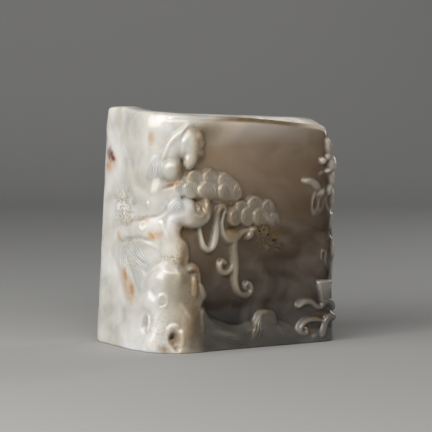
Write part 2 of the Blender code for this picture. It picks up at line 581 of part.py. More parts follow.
def draw_carving(sheet):
    """All the carved forms that stand on the ground, the back ones first."""
    for outline, top, bevel in FAN_BEDS:
        sheet.plate(outline, top, -GROUND_DEPTH, bevel)
    for fan in FRONT_FANS:
        sheet.dome(fan, -GROUND_DEPTH, FAN_BLUNT, FAN_TILT)
    for fan in SIDE_FANS + BACK_FANS:
        sheet.dome(fan, OUTER_FAN_SEAT, FAN_BLUNT, FAN_TILT)
    for lobe in LEAF_LOBES + TREE_LOBES:
        sheet.dome(lobe, -GROUND_DEPTH, LOBE_BLUNT)
    for lobe in ROCK_LOBES:
        sheet.dome(lobe, -GROUND_DEPTH, ROCK_BLUNT)
    for lobe in CORNER_LOBES:
        sheet.dome(lobe, CORNER_SEAT, LOBE_BLUNT)
    sheet.plate(POD_OUTLINE, POD_TOP, -GROUND_DEPTH, POD_BEVEL)
    sheet.plate(PEAK_OUTLINE, PEAK_TOP, -GROUND_DEPTH, PEAK_BEVEL)
    for path in BRANCH_PATHS:
        sheet.stem(path, -GROUND_DEPTH, BRANCH_LIFT)
    for path in TWIG_PATHS:
        sheet.stem(path, -GROUND_DEPTH, TWIG_LIFT)
    for path in CORNER_PATHS:
        sheet.stem(path, CORNER_STEM_SEAT, CORNER_STEM_LIFT)
    for path in BACK_PATHS:
        sheet.stem(path, 0.0, BACK_STEM_LIFT)


def jade():
    """Pale nephrite, ground and polished: a waxy gloss."""
    material = bpy.data.materials.new("jade")
    material.use_nodes = True
    shader = material.node_tree.nodes["Principled BSDF"]
    shader.inputs["Base Color"].default_value = (0.60, 0.58, 0.52, 1.0)
    shader.inputs["Roughness"].default_value = 0.2
    shader.inputs["Metallic"].default_value = 0.0
    return material


def add_modifier(item, kind, **settings):
    modifier = item.modifiers.new(kind.lower(), kind)
    for setting, value in settings.items():
        setattr(modifier, setting, value)


def make_brush_pot():
    sheet = Sheet()
    add_block(sheet)
    draw_carving(sheet)
    pot = add_object("brush_pot", build_mesh("brush_pot", sheet.points, sheet.faces))
    pot.data.materials.append(jade())
    add_modifier(pot, "REMESH", mode="VOXEL", voxel_size=CARVING_GRAIN * MM, use_smooth_shade=True)
    add_modifier(pot, "DECIMATE", ratio=KEPT_FACES)
    for cutter in (cavity_cutter(), foot_cutter()):
        add_modifier(pot, "BOOLEAN", operation="DIFFERENCE", object=cutter)
    return pot


clear_scene()
make_brush_pot()
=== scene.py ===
"""Looks of a brush pot carved from one block of pale jade.

The carving is drawn in millimetres on an unrolled sheet, the same sheet that the solid is drawn on. u runs
round the wall from the middle of the near corner, to the right along the front, z runs up, and out is how
far the surface stands out from the plain wall. One closed skin carries the whole pot: foot, carved wall,
rim, hollow and floor.
"""
import math

import bpy
import numpy as np
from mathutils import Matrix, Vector


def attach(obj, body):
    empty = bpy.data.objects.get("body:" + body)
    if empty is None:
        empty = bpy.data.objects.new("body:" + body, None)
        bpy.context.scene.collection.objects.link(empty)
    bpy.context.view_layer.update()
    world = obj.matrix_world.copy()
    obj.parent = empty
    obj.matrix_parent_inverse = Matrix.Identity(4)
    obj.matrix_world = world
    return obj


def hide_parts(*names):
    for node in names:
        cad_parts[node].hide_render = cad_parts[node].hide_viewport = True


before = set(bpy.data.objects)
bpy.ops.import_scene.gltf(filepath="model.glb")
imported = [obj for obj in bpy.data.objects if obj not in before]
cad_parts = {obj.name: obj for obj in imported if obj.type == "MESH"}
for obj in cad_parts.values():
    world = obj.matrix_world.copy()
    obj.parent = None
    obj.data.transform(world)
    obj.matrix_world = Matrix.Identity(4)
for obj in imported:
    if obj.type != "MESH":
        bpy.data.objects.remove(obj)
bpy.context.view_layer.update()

MM = 0.001

# Vessel, in millimetres, as the solid has it
BASE_WIDTH = 100.0
BASE_DEPTH = 63.3
HEIGHT = 111.8
WALL = 8.0
FLOOR = 10.0
CORNER_NEAR = 24.7
CORNER_RIGHT = 7.2
CORNER_BACK = 10.3
CORNER_LEFT = 9.3
INNER_CORNER_MIN = 4.0
LEAN_LEFT = 5.2
LEAN_RIGHT = 2.9
LEAN_FRONT = 1.4
LEAN_BACK = 2.4
RIM_ROUND = 1.6
RIM_EASE = 7.0
RIM_EASE_DROP = 0.45
RIM_EASE_CORNER = 0.7
RIM_EASE_REACH = 20.0
RIM_EASE_FLAT = 1.5
MOUTH_ROUND = 1.4
FOOT_ROUND = 0.9
FLOOR_ROUND = 5.0
SHEET_GIRTH = 304.5
SHEET_HEIGHT = 111.8

# Sunk ground of the front, the rock's rise and the forms' sides, in millimetres
GROUND_DEPTH = 3.8
GROUND_EDGE_SLOPE = 1.5
LEDGE_SLOPE = 4.5
LEDGE_TOP = 20.0
LEDGE_FADE = 8.0
RIM_BAND = 2.0
RIM_BAND_FADE = 15.0
GROUND_FADE_START = 58.0
GROUND_FADE_END = 91.0
CARVED_WALL_MIN = 1.6
ROCK_RISE = 1.5
ROCK_EDGE_SLOPE = 5.5
SIDE_STEEPNESS = 3.0
FILLET = 0.7
SWELL_CROWN = 1.5
RING_HALF_WIDTH = 0.9
STROKE_ENDS = 0.5

# Steps along the smooth curves of the rim, outlines, edges, paths and fine lines, and how far round a form
# its sides are worked out
RIM_STEP = 2.0
OUTLINE_STEP = 1.5
EDGE_STEP = 1.0
PATH_STEP = 0.7
LINE_STEP = 0.5
FORM_MARGIN = 2.0
BED_MARGIN = 3.0

# Columns of the skin, from one u to the next at a pitch, and the rows in each stretch of its profile
COLUMN_STRETCHES = [
    (-42.0, -12.0, 0.62), (-12.0, 104.0, 0.47), (104.0, 145.0, 0.8), (145.0, 200.0, 1.1),
    (200.0, 262.5, 2.2),
]
WALL_ROWS = 186
ROUND_ROWS = 5
ROUND_SPACING = 1.6
HOLLOW_ROWS = 10
FLAT_ROWS = 3

# Height of the rim at places round the sheet: (u, z)
RIM_LINE = [
    (-46.0, 111.4), (-37.0, 111.8), (-25.0, 111.0), (-14.0, 110.4), (0.0, 109.9), (20.0, 108.3),
    (50.0, 106.4), (72.0, 104.2), (86.0, 102.6), (93.0, 100.6), (101.0, 102.6), (114.0, 105.2),
    (152.0, 104.8), (201.0, 106.9), (232.0, 108.8), (248.0, 110.6),
]

# Unevenness of the finish: sizes of its waves, and how steep it is for each
WAVER_SEED = 7
WAVER_SIZES = (4.5, 16.0)
WAVER_COUNT = 14
WAVER_SLOPE = 0.0035
ROCK_WAVER = 2.2

# Edge of the sunk ground, along the ledge at the foot, over the rim and back down beside the tree and rocks
GROUND_OUTLINE = [
    (23.0, 14.5), (26.0, 11.6), (30.0, 9.6), (35.0, 7.6), (40.0, 7.0), (44.5, 7.2), (47.0, 8.2),
    (60.0, 8.2), (65.5, 6.4), (70.0, 4.2), (78.0, 2.9), (90.0, 2.8), (104.0, 3.2), (104.0, 130.0),
    (12.0, 130.0), (11.0, 104.0), (8.0, 96.0), (5.6, 89.0), (6.2, 82.0), (5.0, 77.0), (7.0, 70.0),
    (8.5, 62.0), (7.4, 57.5), (6.6, 55.0), (7.8, 52.0), (10.0, 49.8), (11.2, 46.5), (11.4, 43.0),
    (11.0, 41.0), (14.0, 40.3), (16.6, 38.6), (17.5, 35.5), (17.6, 32.0), (20.2, 28.4), (21.2, 26.0),
    (19.6, 23.6), (19.8, 20.5), (21.2, 17.5),
]

# Outline of the rock that the tree grows from
ROCK_OUTLINE = [
    (-10.5, -8.0), (-9.6, 6.0), (-6.6, 11.0), (-6.8, 16.0), (-10.2, 20.0), (-10.4, 28.0), (-9.0, 34.5),
    (-5.5, 39.5), (0.0, 42.6), (5.0, 41.8), (9.5, 41.0), (12.2, 38.0), (12.3, 31.0), (12.2, 25.0),
    (14.5, 21.0), (18.5, 18.0), (19.0, 12.0), (21.0, 6.0), (24.0, -8.0),
]

# Pod with a crossed surface on the right corner
POD_TOP = 1.4
POD_BEVEL = 0.9
POD_OUTLINE = [
    (83.4, 28.6), (86.8, 29.4), (91.0, 28.8), (90.0, 23.4), (88.8, 19.2), (85.2, 19.2), (84.4, 23.2),
]

# Peak on the ledge
PEAK_TOP = -0.9
PEAK_BEVEL = 2.6
PEAK_OUTLINE = [
    (45.0, 1.0), (46.4, 6.6), (48.8, 11.5), (50.7, 15.2), (52.8, 16.6), (56.2, 16.9), (59.7, 16.5),
    (61.7, 14.0), (62.6, 9.8), (64.8, 5.6), (67.0, 1.0),
]

# Flat beds: (outline, how far the top stands out, width of the softened edge)
FAN_BEDS = [
    ([(5.0, 71.0), (13.0, 70.4), (24.0, 69.8), (34.0, 68.8), (40.0, 69.2), (41.8, 72.0), (39.6, 77.0),
      (34.0, 80.2), (27.0, 82.4), (17.0, 83.0), (10.0, 81.6), (5.0, 79.6)], -1.5, 1.8),
    ([(34.4, 57.4), (44.0, 57.2), (53.0, 56.4), (60.0, 56.0), (62.4, 59.0), (60.4, 64.0), (55.0, 67.6),
      (47.0, 68.0), (40.0, 66.4), (35.0, 63.6)], -2.7, 2.4),
]

# Broad swells of the surface: (u, z, half length, half width, turn in degrees, rise)
SWELLS = [
    # trunk on the near corner, and the ridges of the rock it stands on
    (5.0, 50.0, 12.0, 7.0, 85.0, 1.2), (2.0, 31.0, 13.0, 7.0, 92.0, 1.1),
    (9.0, 30.0, 11.0, 5.0, 100.0, 0.5), (12.5, 12.0, 12.0, 4.5, 85.0, 0.9),
    (-3.0, 8.0, 9.0, 4.5, 80.0, 0.8),
    # branch and foliage in low relief on the left face
    (-10.0, 56.8, 15.0, 4.6, 10.0, 0.5), (-27.0, 54.4, 10.0, 3.2, 4.0, 0.4),
    (-20.0, 68.0, 14.0, 8.0, 16.0, 0.6), (-6.0, 72.5, 9.0, 7.0, 60.0, 0.9),
    (-6.6, 84.5, 6.5, 4.0, 84.0, 0.4), (-23.0, 45.0, 11.0, 5.5, -20.0, 0.4),
    (-14.0, 36.0, 10.0, 5.0, -50.0, 0.5), (-22.0, 8.0, 12.0, 5.0, 8.0, 0.5),
    # rocks round the foot of the hidden right side and back
    (112.0, 7.0, 16.0, 8.0, 0.0, 1.4), (137.0, 9.0, 13.0, 10.0, 0.0, 1.8),
    (178.0, 8.0, 18.0, 9.0, 4.0, 1.4), (205.0, 6.0, 14.0, 7.0, -4.0, 1.0),
    (228.0, 5.0, 12.0, 6.0, 0.0, 0.8),
]
# Hollows cut into the finished forms, in the same terms
HOLLOWS = [
    (14.8, 68.0, 3.4, 1.7, 82.0, -1.6), (36.6, 55.6, 3.4, 1.3, -6.0, -1.2),
    (52.0, 55.6, 2.0, 1.6, 0.0, -1.0), (6.2, 6.4, 5.4, 2.9, 94.0, -2.4), (4.6, 7.4, 2.2, 1.5, 60.0, -2.0),
    (-8.8, 13.2, 5.0, 2.6, 84.0, -0.9), (0.5, 23.6, 3.4, 2.5, 80.0, -0.4),
    (7.4, 2.2, 2.0, 1.6, 0.0, -1.2), (13.4, 37.0, 2.4, 1.8, 20.0, -1.2),
    (19.9, 21.8, 3.2, 1.6, 70.0, -1.6),
]

# Fans of pine needles: (u, z, half width, half height, turn, how far the top stands out)
FAN_BLUNT = 0.36
FAN_TILT = 0.2
FAN_EDGE_INSET = 0.86
FAN_EDGE_FROM = 112.0
FAN_EDGE_TO = 182.0
FAN_EDGE_WIDTH = 0.4
FAN_EDGE_RISE = 0.32
FRONT_FANS = [
    # upper cluster: the row behind, then the row in front
    (14.6, 79.8, 5.2, 4.0, -14.0, -1.2), (23.0, 79.6, 5.8, 4.3, -20.0, -1.2),
    (32.0, 77.4, 6.0, 4.3, -26.0, -1.5), (7.0, 75.6, 4.0, 4.0, 0.0, 0.0),
    (12.4, 74.8, 5.0, 4.3, -4.0, -0.5), (21.8, 74.0, 7.2, 4.7, -6.0, -0.7),
    (32.2, 72.9, 6.0, 4.7, -12.0, -1.0), (38.2, 72.4, 3.4, 4.2, -24.0, -1.5),
    # lower cluster: the row behind, then the row in front
    (42.2, 65.4, 4.6, 3.2, -16.0, -2.2), (50.4, 66.4, 6.0, 3.9, -18.0, -2.2),
    (58.4, 64.4, 5.2, 4.0, -24.0, -2.7), (37.8, 61.2, 4.4, 4.5, 0.0, -1.4),
    (45.2, 61.2, 4.9, 4.9, -14.0, -1.6), (53.2, 60.4, 6.0, 4.7, -14.0, -1.9),
    (61.6, 58.8, 4.4, 3.6, -22.0, -3.0),
]
SIDE_FANS = [
    (122.0, 66.0, 5.0, 4.8, 0.0, 1.4), (130.0, 67.5, 5.2, 4.8, 0.0, 1.4),
    (138.0, 64.5, 5.0, 4.6, 10.0, 1.4), (126.0, 60.0, 5.2, 4.6, 0.0, 2.0),
    (134.0, 59.5, 5.2, 4.6, 0.0, 2.0),
]
BACK_FANS = [
    (172.0, 70.0, 5.4, 4.8, 0.0, 1.2), (181.0, 72.0, 5.6, 4.8, 0.0, 1.2),
    (190.0, 70.0, 5.4, 4.8, 0.0, 1.2), (177.0, 64.0, 5.4, 4.6, 0.0, 1.7),
    (186.0, 64.5, 5.4, 4.6, 0.0, 1.7),
]
OUTER_FAN_SEAT = -0.8

# Lobes: (u, z, half length, half width, turn, how far the top stands out)
LOBE_BLUNT = 0.8
ROCK_BLUNT = 0.7
LEAF_LOBES = [
    # leaf at the top of the near corner: its long left fold, its lobed right side, and the round bud below
    (3.6, 95.0, 10.8, 5.2, 66.0, 1.3), (8.4, 96.2, 8.4, 5.2, 68.0, 1.4),
    (11.4, 95.4, 9.0, 5.0, 96.0, 2.0), (14.6, 98.8, 4.4, 3.0, 120.0, 1.4),
    (15.4, 95.4, 3.6, 2.8, 40.0, 1.4), (15.4, 91.8, 3.6, 2.6, -20.0, 1.2),
    (11.0, 88.8, 5.2, 3.8, 78.0, 1.8), (2.2, 84.2, 6.2, 5.0, 96.0, 2.3),
]
TREE_LOBES = [
    # knot where the branch leaves the trunk, the thick arm to its right and the arm's hooked end
    (5.2, 66.8, 5.2, 4.8, 20.0, 2.2), (10.0, 66.2, 8.0, 4.6, -12.0, 1.4),
    (20.0, 65.2, 6.4, 2.5, 92.0, 1.7), (31.0, 69.0, 9.0, 2.0, -8.0, -2.4),
    # end of the lower branch, the leaf that hangs from it and the brown pocket beyond
    (36.2, 52.6, 5.4, 3.0, -8.0, -0.6), (46.2, 52.6, 3.0, 2.0, 40.0, -1.0),
    (47.6, 55.0, 1.8, 1.4, 0.0, -0.6), (53.6, 54.6, 5.4, 3.4, -20.0, -3.0),
]
ROCK_LOBES = [
    # underside of the thick arm
    (12.6, 61.6, 9.8, 4.6, -2.0, 1.5),
    # broken fingers of the scholar's rock, and the rock on the ledge
    (14.6, 30.2, 6.6, 1.9, 93.0, 1.6), (18.5, 28.3, 4.9, 1.8, 112.0, 1.1),
    (14.0, 38.2, 3.6, 2.0, -8.0, 1.2), (66.0, 3.6, 6.0, 2.4, 150.0, -1.2),
    (81.5, 3.0, 3.0, 1.8, 10.0, 0.6),
]
CORNER_LOBES = [
    # fungus caps and leaves on the right corner
    (80.8, 76.0, 5.0, 1.8, -12.0, 0.4), (84.2, 74.4, 4.4, 2.4, -34.0, 0.6),
    (87.0, 71.2, 3.4, 1.6, 40.0, 0.7), (83.2, 66.0, 5.2, 2.2, 82.0, -0.3),
    (87.0, 66.6, 4.8, 2.1, 72.0, 0.0), (84.8, 61.8, 3.0, 1.6, 80.0, -0.3),
    (88.2, 85.9, 2.3, 2.1, 0.0, 1.9), (91.6, 92.6, 5.0, 2.2, 96.0, 2.2),
    (91.4, 87.6, 2.6, 1.8, 60.0, 2.2), (95.2, 84.6, 5.2, 3.6, 70.0, 4.2),
    (91.4, 81.4, 2.8, 1.5, 20.0, 2.2), (94.4, 77.0, 4.8, 2.6, 100.0, 2.8),
    (92.0, 72.0, 3.6, 2.0, 70.0, 1.8), (100.5, 92.0, 6.0, 3.2, -8.0, 3.4),
    (104.0, 80.0, 8.0, 4.2, 8.0, 3.8), (96.5, 68.5, 6.0, 3.0, 80.0, 2.6),
    (112.5, 88.5, 7.4, 4.0, 0.0, 3.2), (118.0, 77.0, 7.0, 4.2, 12.0, 2.8),
    (93.6, 57.0, 5.6, 2.6, 75.0, 1.7), (104.0, 56.0, 6.6, 3.6, -10.0, 2.2),
    (94.4, 44.0, 6.4, 2.2, 88.0, 1.9),
]
CORNER_SEAT = -1.9

# Stems: paths of (u, z, radius)
BRANCH_LIFT = 0.1
TWIG_LIFT = 0.9
CORNER_STEM_SEAT = -0.4
CORNER_STEM_LIFT = 0.2
BACK_STEM_LIFT = -0.2
BRANCH_PATHS = [
    [(5.6, 40.5, 4.6), (5.9, 46.0, 4.7), (4.6, 51.5, 4.0), (3.6, 57.0, 4.4), (5.6, 62.6, 5.0),
     (10.0, 64.0, 5.0)],
]
TWIG_PATHS = [
    # branch under the lower needles
    [(31.6, 63.5, 0.9), (30.2, 58.4, 1.1), (30.9, 53.8, 1.5), (34.2, 51.0, 2.0), (38.2, 51.6, 1.8),
     (42.2, 53.8, 1.2), (47.0, 54.8, 1.0), (52.0, 55.0, 0.8)],
    # looped vine beside the trunk
    [(16.8, 60.5, 0.9), (17.6, 56.5, 1.0), (18.9, 51.5, 1.1), (20.4, 48.2, 1.3), (22.8, 46.8, 1.4),
     (25.2, 48.2, 1.6), (26.3, 52.0, 1.7), (26.7, 57.0, 1.6), (27.1, 61.0, 1.4), (27.9, 64.3, 1.3),
     (29.7, 66.2, 1.2), (31.6, 65.8, 1.1), (32.8, 63.6, 0.9)],
    # vine hanging to a curl
    [(36.6, 51.0, 2.0), (37.2, 46.0, 1.9), (37.9, 42.0, 1.8), (38.1, 38.0, 1.7), (38.0, 34.0, 1.6),
     (38.2, 31.0, 1.5), (39.3, 27.5, 1.5), (41.6, 25.0, 1.4), (44.8, 24.3, 1.4), (47.2, 26.0, 1.3),
     (47.3, 28.8, 1.2), (45.3, 30.0, 1.1), (43.9, 28.5, 1.0), (45.0, 27.2, 0.9)],
    # second curl, turned back to the left
    [(36.8, 43.0, 1.1), (36.9, 39.5, 1.2), (35.6, 36.7, 1.2), (33.0, 35.6, 1.2), (30.5, 36.6, 1.2),
     (29.6, 39.0, 1.2), (30.8, 41.0, 1.2), (32.6, 40.2, 1.1)],
]
CORNER_PATHS = [
    # stems between the caps
    [(86.4, 79.6, 0.6), (89.4, 80.6, 0.8), (91.6, 79.0, 0.9), (93.0, 75.0, 1.0), (91.2, 72.4, 0.9),
     (89.6, 71.4, 0.7)],
    [(90.6, 70.4, 0.7), (89.6, 66.8, 0.8), (90.8, 63.0, 0.8), (92.6, 60.0, 0.8)],
    # thin stem on the right corner
    [(86.2, 39.4, 0.5), (86.1, 41.5, 0.6), (86.7, 43.2, 0.7), (88.0, 43.4, 0.7), (88.7, 42.0, 0.7),
     (88.2, 39.4, 0.7), (89.1, 36.8, 0.7), (90.8, 34.0, 0.8), (90.2, 31.0, 0.8), (89.6, 29.0, 0.8)],
    # stem under the pod, running left to a rounded tip
    [(73.3, 17.9, 1.0), (76.0, 19.4, 1.2), (79.6, 19.2, 1.2), (82.6, 17.2, 1.2), (85.0, 16.8, 1.3),
     (87.2, 19.0, 1.5), (89.8, 19.4, 1.6), (95.0, 16.0, 1.8)],
    # wave-like curl at the foot
    [(86.0, 10.0, 0.9), (82.4, 11.0, 1.0), (78.6, 10.8, 1.1), (75.4, 9.6, 1.1), (73.6, 7.4, 1.1),
     (73.9, 5.2, 1.0), (75.9, 4.5, 0.9), (77.4, 5.6, 0.8), (76.6, 7.2, 0.7)],
    # rounded stem that turns the corner
    [(85.4, 3.6, 1.5), (86.3, 6.6, 1.7), (88.0, 10.6, 1.7), (91.6, 12.4, 1.8), (97.0, 10.8, 2.0),
     (104.0, 9.0, 2.6)],
    # stems of the fungus on the right side
    [(108.0, 8.0, 2.6), (103.0, 22.0, 2.2), (98.5, 34.0, 1.8), (97.0, 48.0, 1.7), (99.0, 62.0, 1.8),
     (104.0, 78.0, 1.9)],
    [(103.5, 24.0, 2.0), (111.0, 38.0, 1.8), (117.0, 52.0, 1.8), (118.0, 66.0, 1.7), (118.0, 78.0, 1.6)],
    [(116.5, 50.0, 1.7), (124.0, 56.0, 1.8), (132.0, 57.0, 1.6)],
]
BACK_PATHS = [
    [(150.0, 6.0, 2.8), (156.0, 22.0, 2.6), (160.0, 38.0, 2.3), (166.0, 50.0, 2.1), (175.0, 58.0, 1.9),
     (187.0, 60.0, 1.6)],
    [(168.0, 52.0, 1.5), (178.0, 49.0, 1.4), (188.0, 46.0, 1.3), (193.0, 41.0, 1.2), (190.0, 36.5, 1.1),
     (186.5, 39.0, 1.0)],
]

# Ridges and grooves of the finish: (half width, rise), then a path of (u, z)
RIDGES = [
    # edge of the leaf on the near corner, and the fold inside it
    (1.0, 0.8, [(10.6, 104.8), (7.0, 102.6), (3.4, 99.4), (0.6, 96.0), (-1.5, 91.0), (-2.4, 85.6),
                (-2.0, 80.0)]),
    (1.0, 0.4, [(10.4, 102.0), (8.6, 99.0), (7.6, 95.0), (8.2, 91.5)]),
    (0.6, 0.4, [(9.8, 105.4), (6.4, 101.0), (5.0, 98.0)]),
    # fold where the low branch leaves the trunk
    (0.8, 0.6, [(-2.4, 60.5), (-1.0, 58.4), (0.2, 56.4), (1.4, 53.6), (3.0, 50.8)]),
    # crest of the rock, and the crest on its right shoulder
    (2.0, 0.3, [(1.0, 38.6), (1.2, 36.0), (0.9, 33.0), (0.6, 29.0)]),
    (0.8, 0.35, [(5.6, 40.4), (7.0, 37.4), (8.4, 34.6), (9.6, 31.8)]),
    (0.7, 1.0, [(19.4, 20.6), (18.9, 16.0), (19.3, 12.4), (20.0, 8.0)]),
    (0.7, 0.7, [(8.6, 11.0), (9.6, 7.6), (9.9, 3.2)]),
    (0.8, 0.7, [(3.0, 10.4), (4.2, 12.2), (6.0, 12.8), (8.0, 11.8)]),
    # raised lip of the left notch
    (0.7, 0.7, [(-7.0, 17.4), (-6.2, 15.0), (-6.3, 12.6), (-7.6, 9.8)]),
    # ledge at the foot, and the crisp left edge of the rock on it
    (0.6, 0.9, [(46.9, 6.4), (49.2, 11.2), (51.1, 14.6), (53.6, 15.9)]),
    (0.5, 0.5, [(48.4, 5.2), (50.0, 8.4), (51.2, 11.4)]),
    (0.5, 0.4, [(50.4, 4.4), (51.4, 7.0), (52.0, 9.6)]),
    (0.7, 0.4, [(61.2, 12.6), (62.6, 8.4), (64.6, 5.0)]),
    # glints on the low relief of the left face
    (0.6, 0.6, [(-11.0, 60.2), (-13.4, 58.5), (-12.8, 56.8), (-10.6, 55.4)]),
    (0.6, 0.5, [(-9.6, 69.4), (-8.6, 67.5), (-8.4, 65.8)]),
    (0.5, 0.2, [(-10.3, 50.0), (-6.4, 49.2), (-2.3, 48.0)]),
    # hooked fold at the arm's end
    (0.8, 0.6, [(18.4, 71.0), (18.3, 67.0), (18.0, 64.2), (16.6, 62.6), (14.6, 62.4)]),
    # lights on the caps of the right corner, and the pod's raised rim
    (0.5, 0.5, [(76.8, 75.6), (79.6, 77.4), (83.0, 77.4), (86.0, 75.0)]),
    (0.4, 0.4, [(81.2, 65.0), (81.8, 67.6), (83.2, 69.6)]),
    (0.5, 0.5, [(83.4, 27.6), (84.2, 29.0), (88.0, 28.8), (91.6, 28.0), (90.6, 23.8), (88.8, 20.0)]),
    (0.5, 0.5, [(88.8, 20.0), (85.4, 20.0), (84.6, 23.6), (83.6, 27.4)]),
    # short raised bead under the lower needles, and its veins
    (0.7, 0.7, [(57.3, 47.6), (57.2, 44.6)]),
    (0.5, 0.35, [(60.8, 47.4), (63.4, 47.0), (66.0, 46.2)]),
    (0.5, 0.35, [(60.6, 45.8), (63.0, 45.2), (65.4, 44.2)]),
]
GROOVES = [
    # thin line under the rim of the front
    (0.45, -0.3, [(-6.0, 107.6), (4.0, 107.1), (14.0, 106.6), (30.0, 105.6), (50.0, 104.5),
                  (66.0, 103.0), (82.0, 101.0)]),
    # fold round the pit of the arm
    (0.9, -1.0, [(13.4, 70.0), (14.0, 67.0), (15.0, 64.8), (16.8, 64.6)]),
    # cracks and undercut lines of the left face
    (0.6, -0.5, [(6.0, 78.0), (3.4, 77.0), (1.0, 76.0), (-2.0, 75.4)]),
    (0.8, -0.35, [(-34.0, 58.6), (-29.0, 57.4), (-24.6, 57.8), (-20.6, 59.8), (-15.0, 60.6),
                  (-9.0, 61.8), (-3.6, 63.0), (-0.6, 65.0), (0.2, 68.6)]),
    (0.8, -0.4, [(-34.0, 51.4), (-30.0, 49.4), (-26.0, 50.6), (-20.0, 51.6), (-14.0, 52.8),
                 (-10.0, 51.8), (-5.0, 51.6)]),
    (0.6, -0.5, [(-17.6, 47.4), (-16.0, 44.0), (-13.0, 42.4), (-10.0, 41.0), (-7.4, 39.2)]),
]
# Oval rings, in the terms of the swells: on the rock, and the rims of two leaves on the right corner
OVAL_RINGS = [
    (0.5, 24.0, 3.0, 2.3, 80.0, 0.3), (83.2, 66.0, 4.4, 1.6, 82.0, 0.5),
    (87.0, 66.6, 4.0, 1.5, 72.0, 0.5),
]


# Fine lines: (number of lines, first curve, last curve)
STRAND_GROUPS = [
    # strands that sweep down from the low branch, and those below them beside the rock
    (5, [(-29.8, 47.6), (-31.0, 42.4), (-30.0, 38.6), (-26.8, 35.6)], [(-21.6, 49.4), (-24.4, 44.0),
                                                                       (-22.4, 39.0), (-18.6, 33.0)]),
    (5, [(-20.4, 49.2), (-20.8, 45.6), (-16.4, 42.4), (-8.8, 37.0)], [(-14.0, 50.4), (-13.6, 47.4),
                                                                      (-10.2, 43.4), (-6.6, 40.0)]),
    (5, [(-19.0, 37.4), (-18.0, 33.0), (-15.0, 27.0)], [(-11.4, 37.6), (-12.0, 32.0), (-11.6, 25.0)]),
    (5, [(-10.4, 80.0), (-9.2, 84.0), (-6.4, 89.4)], [(-3.0, 79.6), (-3.4, 84.0), (-3.0, 90.0)]),
    (4, [(2.6, 64.0), (2.6, 67.4), (5.0, 70.2), (8.0, 70.2)], [(5.6, 65.6), (5.8, 66.8), (6.8, 67.4),
                                                               (7.8, 66.6)]),
    # crossed surface of the pod
    (5, [(84.8, 27.4), (85.6, 24.0), (85.6, 20.8)], [(90.2, 27.2), (89.2, 24.0), (88.2, 20.8)]),
    (5, [(84.4, 27.4), (87.4, 27.0), (90.6, 26.8)], [(85.4, 21.4), (87.0, 21.2), (88.6, 21.4)]),
    # strokes along the ledge and on the foot of the peak
    (4, [(20.6, 12.6), (25.4, 9.4), (31.0, 7.2), (37.0, 6.2), (44.0, 6.0)], [(22.6, 8.0), (27.6, 5.0),
                                                                             (32.6, 3.6), (38.0, 2.9),
                                                                             (44.4, 2.6)]),
    (4, [(66.6, 5.8), (71.8, 3.2), (77.0, 1.6)], [(70.0, 7.0), (75.0, 5.0), (80.0, 2.6)]),
    (3, [(46.7, 6.4), (49.0, 11.2), (50.8, 14.4), (53.4, 16.0)], [(50.2, 4.6), (51.2, 8.0), (51.8, 10.4),
                                                                  (52.6, 12.4)]),
]
# Tufts of needles: (u, z, root, length, from turn, to turn, number of needles)
NEEDLE_TUFTS = [
    (-25.6, 60.4, 1.6, 7.0, 30.0, 160.0, 12), (-33.0, 62.0, 1.6, 6.0, 40.0, 170.0, 9),
    (-28.4, 68.0, 1.6, 6.0, 30.0, 160.0, 10), (-20.6, 66.0, 1.6, 6.4, 30.0, 150.0, 10),
]
GUIDE_PLACES = 26
GUIDE_CLEAR = 2.0
STRAND_RADIUS = 0.42
NEEDLE_RADIUS = 0.26
RIB_RADIUS = 0.34
RIB_FROM = 28.0
RIB_TO = 150.0
RIB_ROOT = 0.3
RIB_INSET = 0.84
RIB_SPREAD = 0.5
RIBS_PER_MM = 1.6
RIB_TOLERANCE = 0.3
RIB_LEAST_PLACES = 5
LINE_REACH = 6.0
LINE_LIFT = -0.35
LINE_SIDES = 6
LINE_SCATTER = 0.0
LINE_TIP = 0.12
LINE_TAPER = 0.6
LINE_INPUTS = [
    ("Guides", "NodeSocketGeometry"), ("Body", "NodeSocketObject"), ("Stone", "NodeSocketMaterial"),
    ("Reach", "NodeSocketFloat"), ("Thickness", "NodeSocketFloat"), ("Lift", "NodeSocketFloat"),
    ("Sides", "NodeSocketInt"),
]

# Marks in the stone: (u, z, half length, half width, turn, strength), each fading out from its middle
SPOT_REACH = 1.3
IRON_MARKS = [
    (-45.2, 88.6, 5.0, 3.0, -25.0, 1.0), (-47.2, 90.4, 3.0, 2.2, 60.0, 0.9),
    (-43.0, 87.4, 3.4, 1.6, -10.0, 0.9), (-24.8, 33.9, 2.2, 0.8, -50.0, 0.25),
    (-18.8, 27.4, 2.6, 0.9, -64.0, 0.3), (2.4, 77.2, 2.6, 0.7, 14.0, 0.5),
]
RUST_MARKS = [
    (-47.0, 83.4, 3.4, 4.0, 0.0, 1.0), (-43.0, 86.0, 6.5, 5.0, -10.0, 0.45),
    (-8.6, 98.0, 2.0, 3.4, 0.0, 0.85), (-5.0, 54.0, 4.4, 2.8, 8.0, 1.0),
    (-24.8, 33.6, 6.0, 2.8, -40.0, 1.0), (-18.4, 27.4, 4.6, 2.6, -60.0, 1.0),
    (-22.0, 29.0, 10.0, 6.0, -40.0, 0.5), (-33.6, 52.0, 2.4, 2.6, 0.0, 0.5),
    (-10.4, 59.6, 3.0, 1.6, 20.0, 0.4), (3.0, 77.6, 5.4, 2.2, 20.0, 0.6),
    (-24.0, 58.6, 4.0, 1.2, 6.0, 0.35), (-11.6, 60.6, 3.0, 1.2, 10.0, 0.4),
]
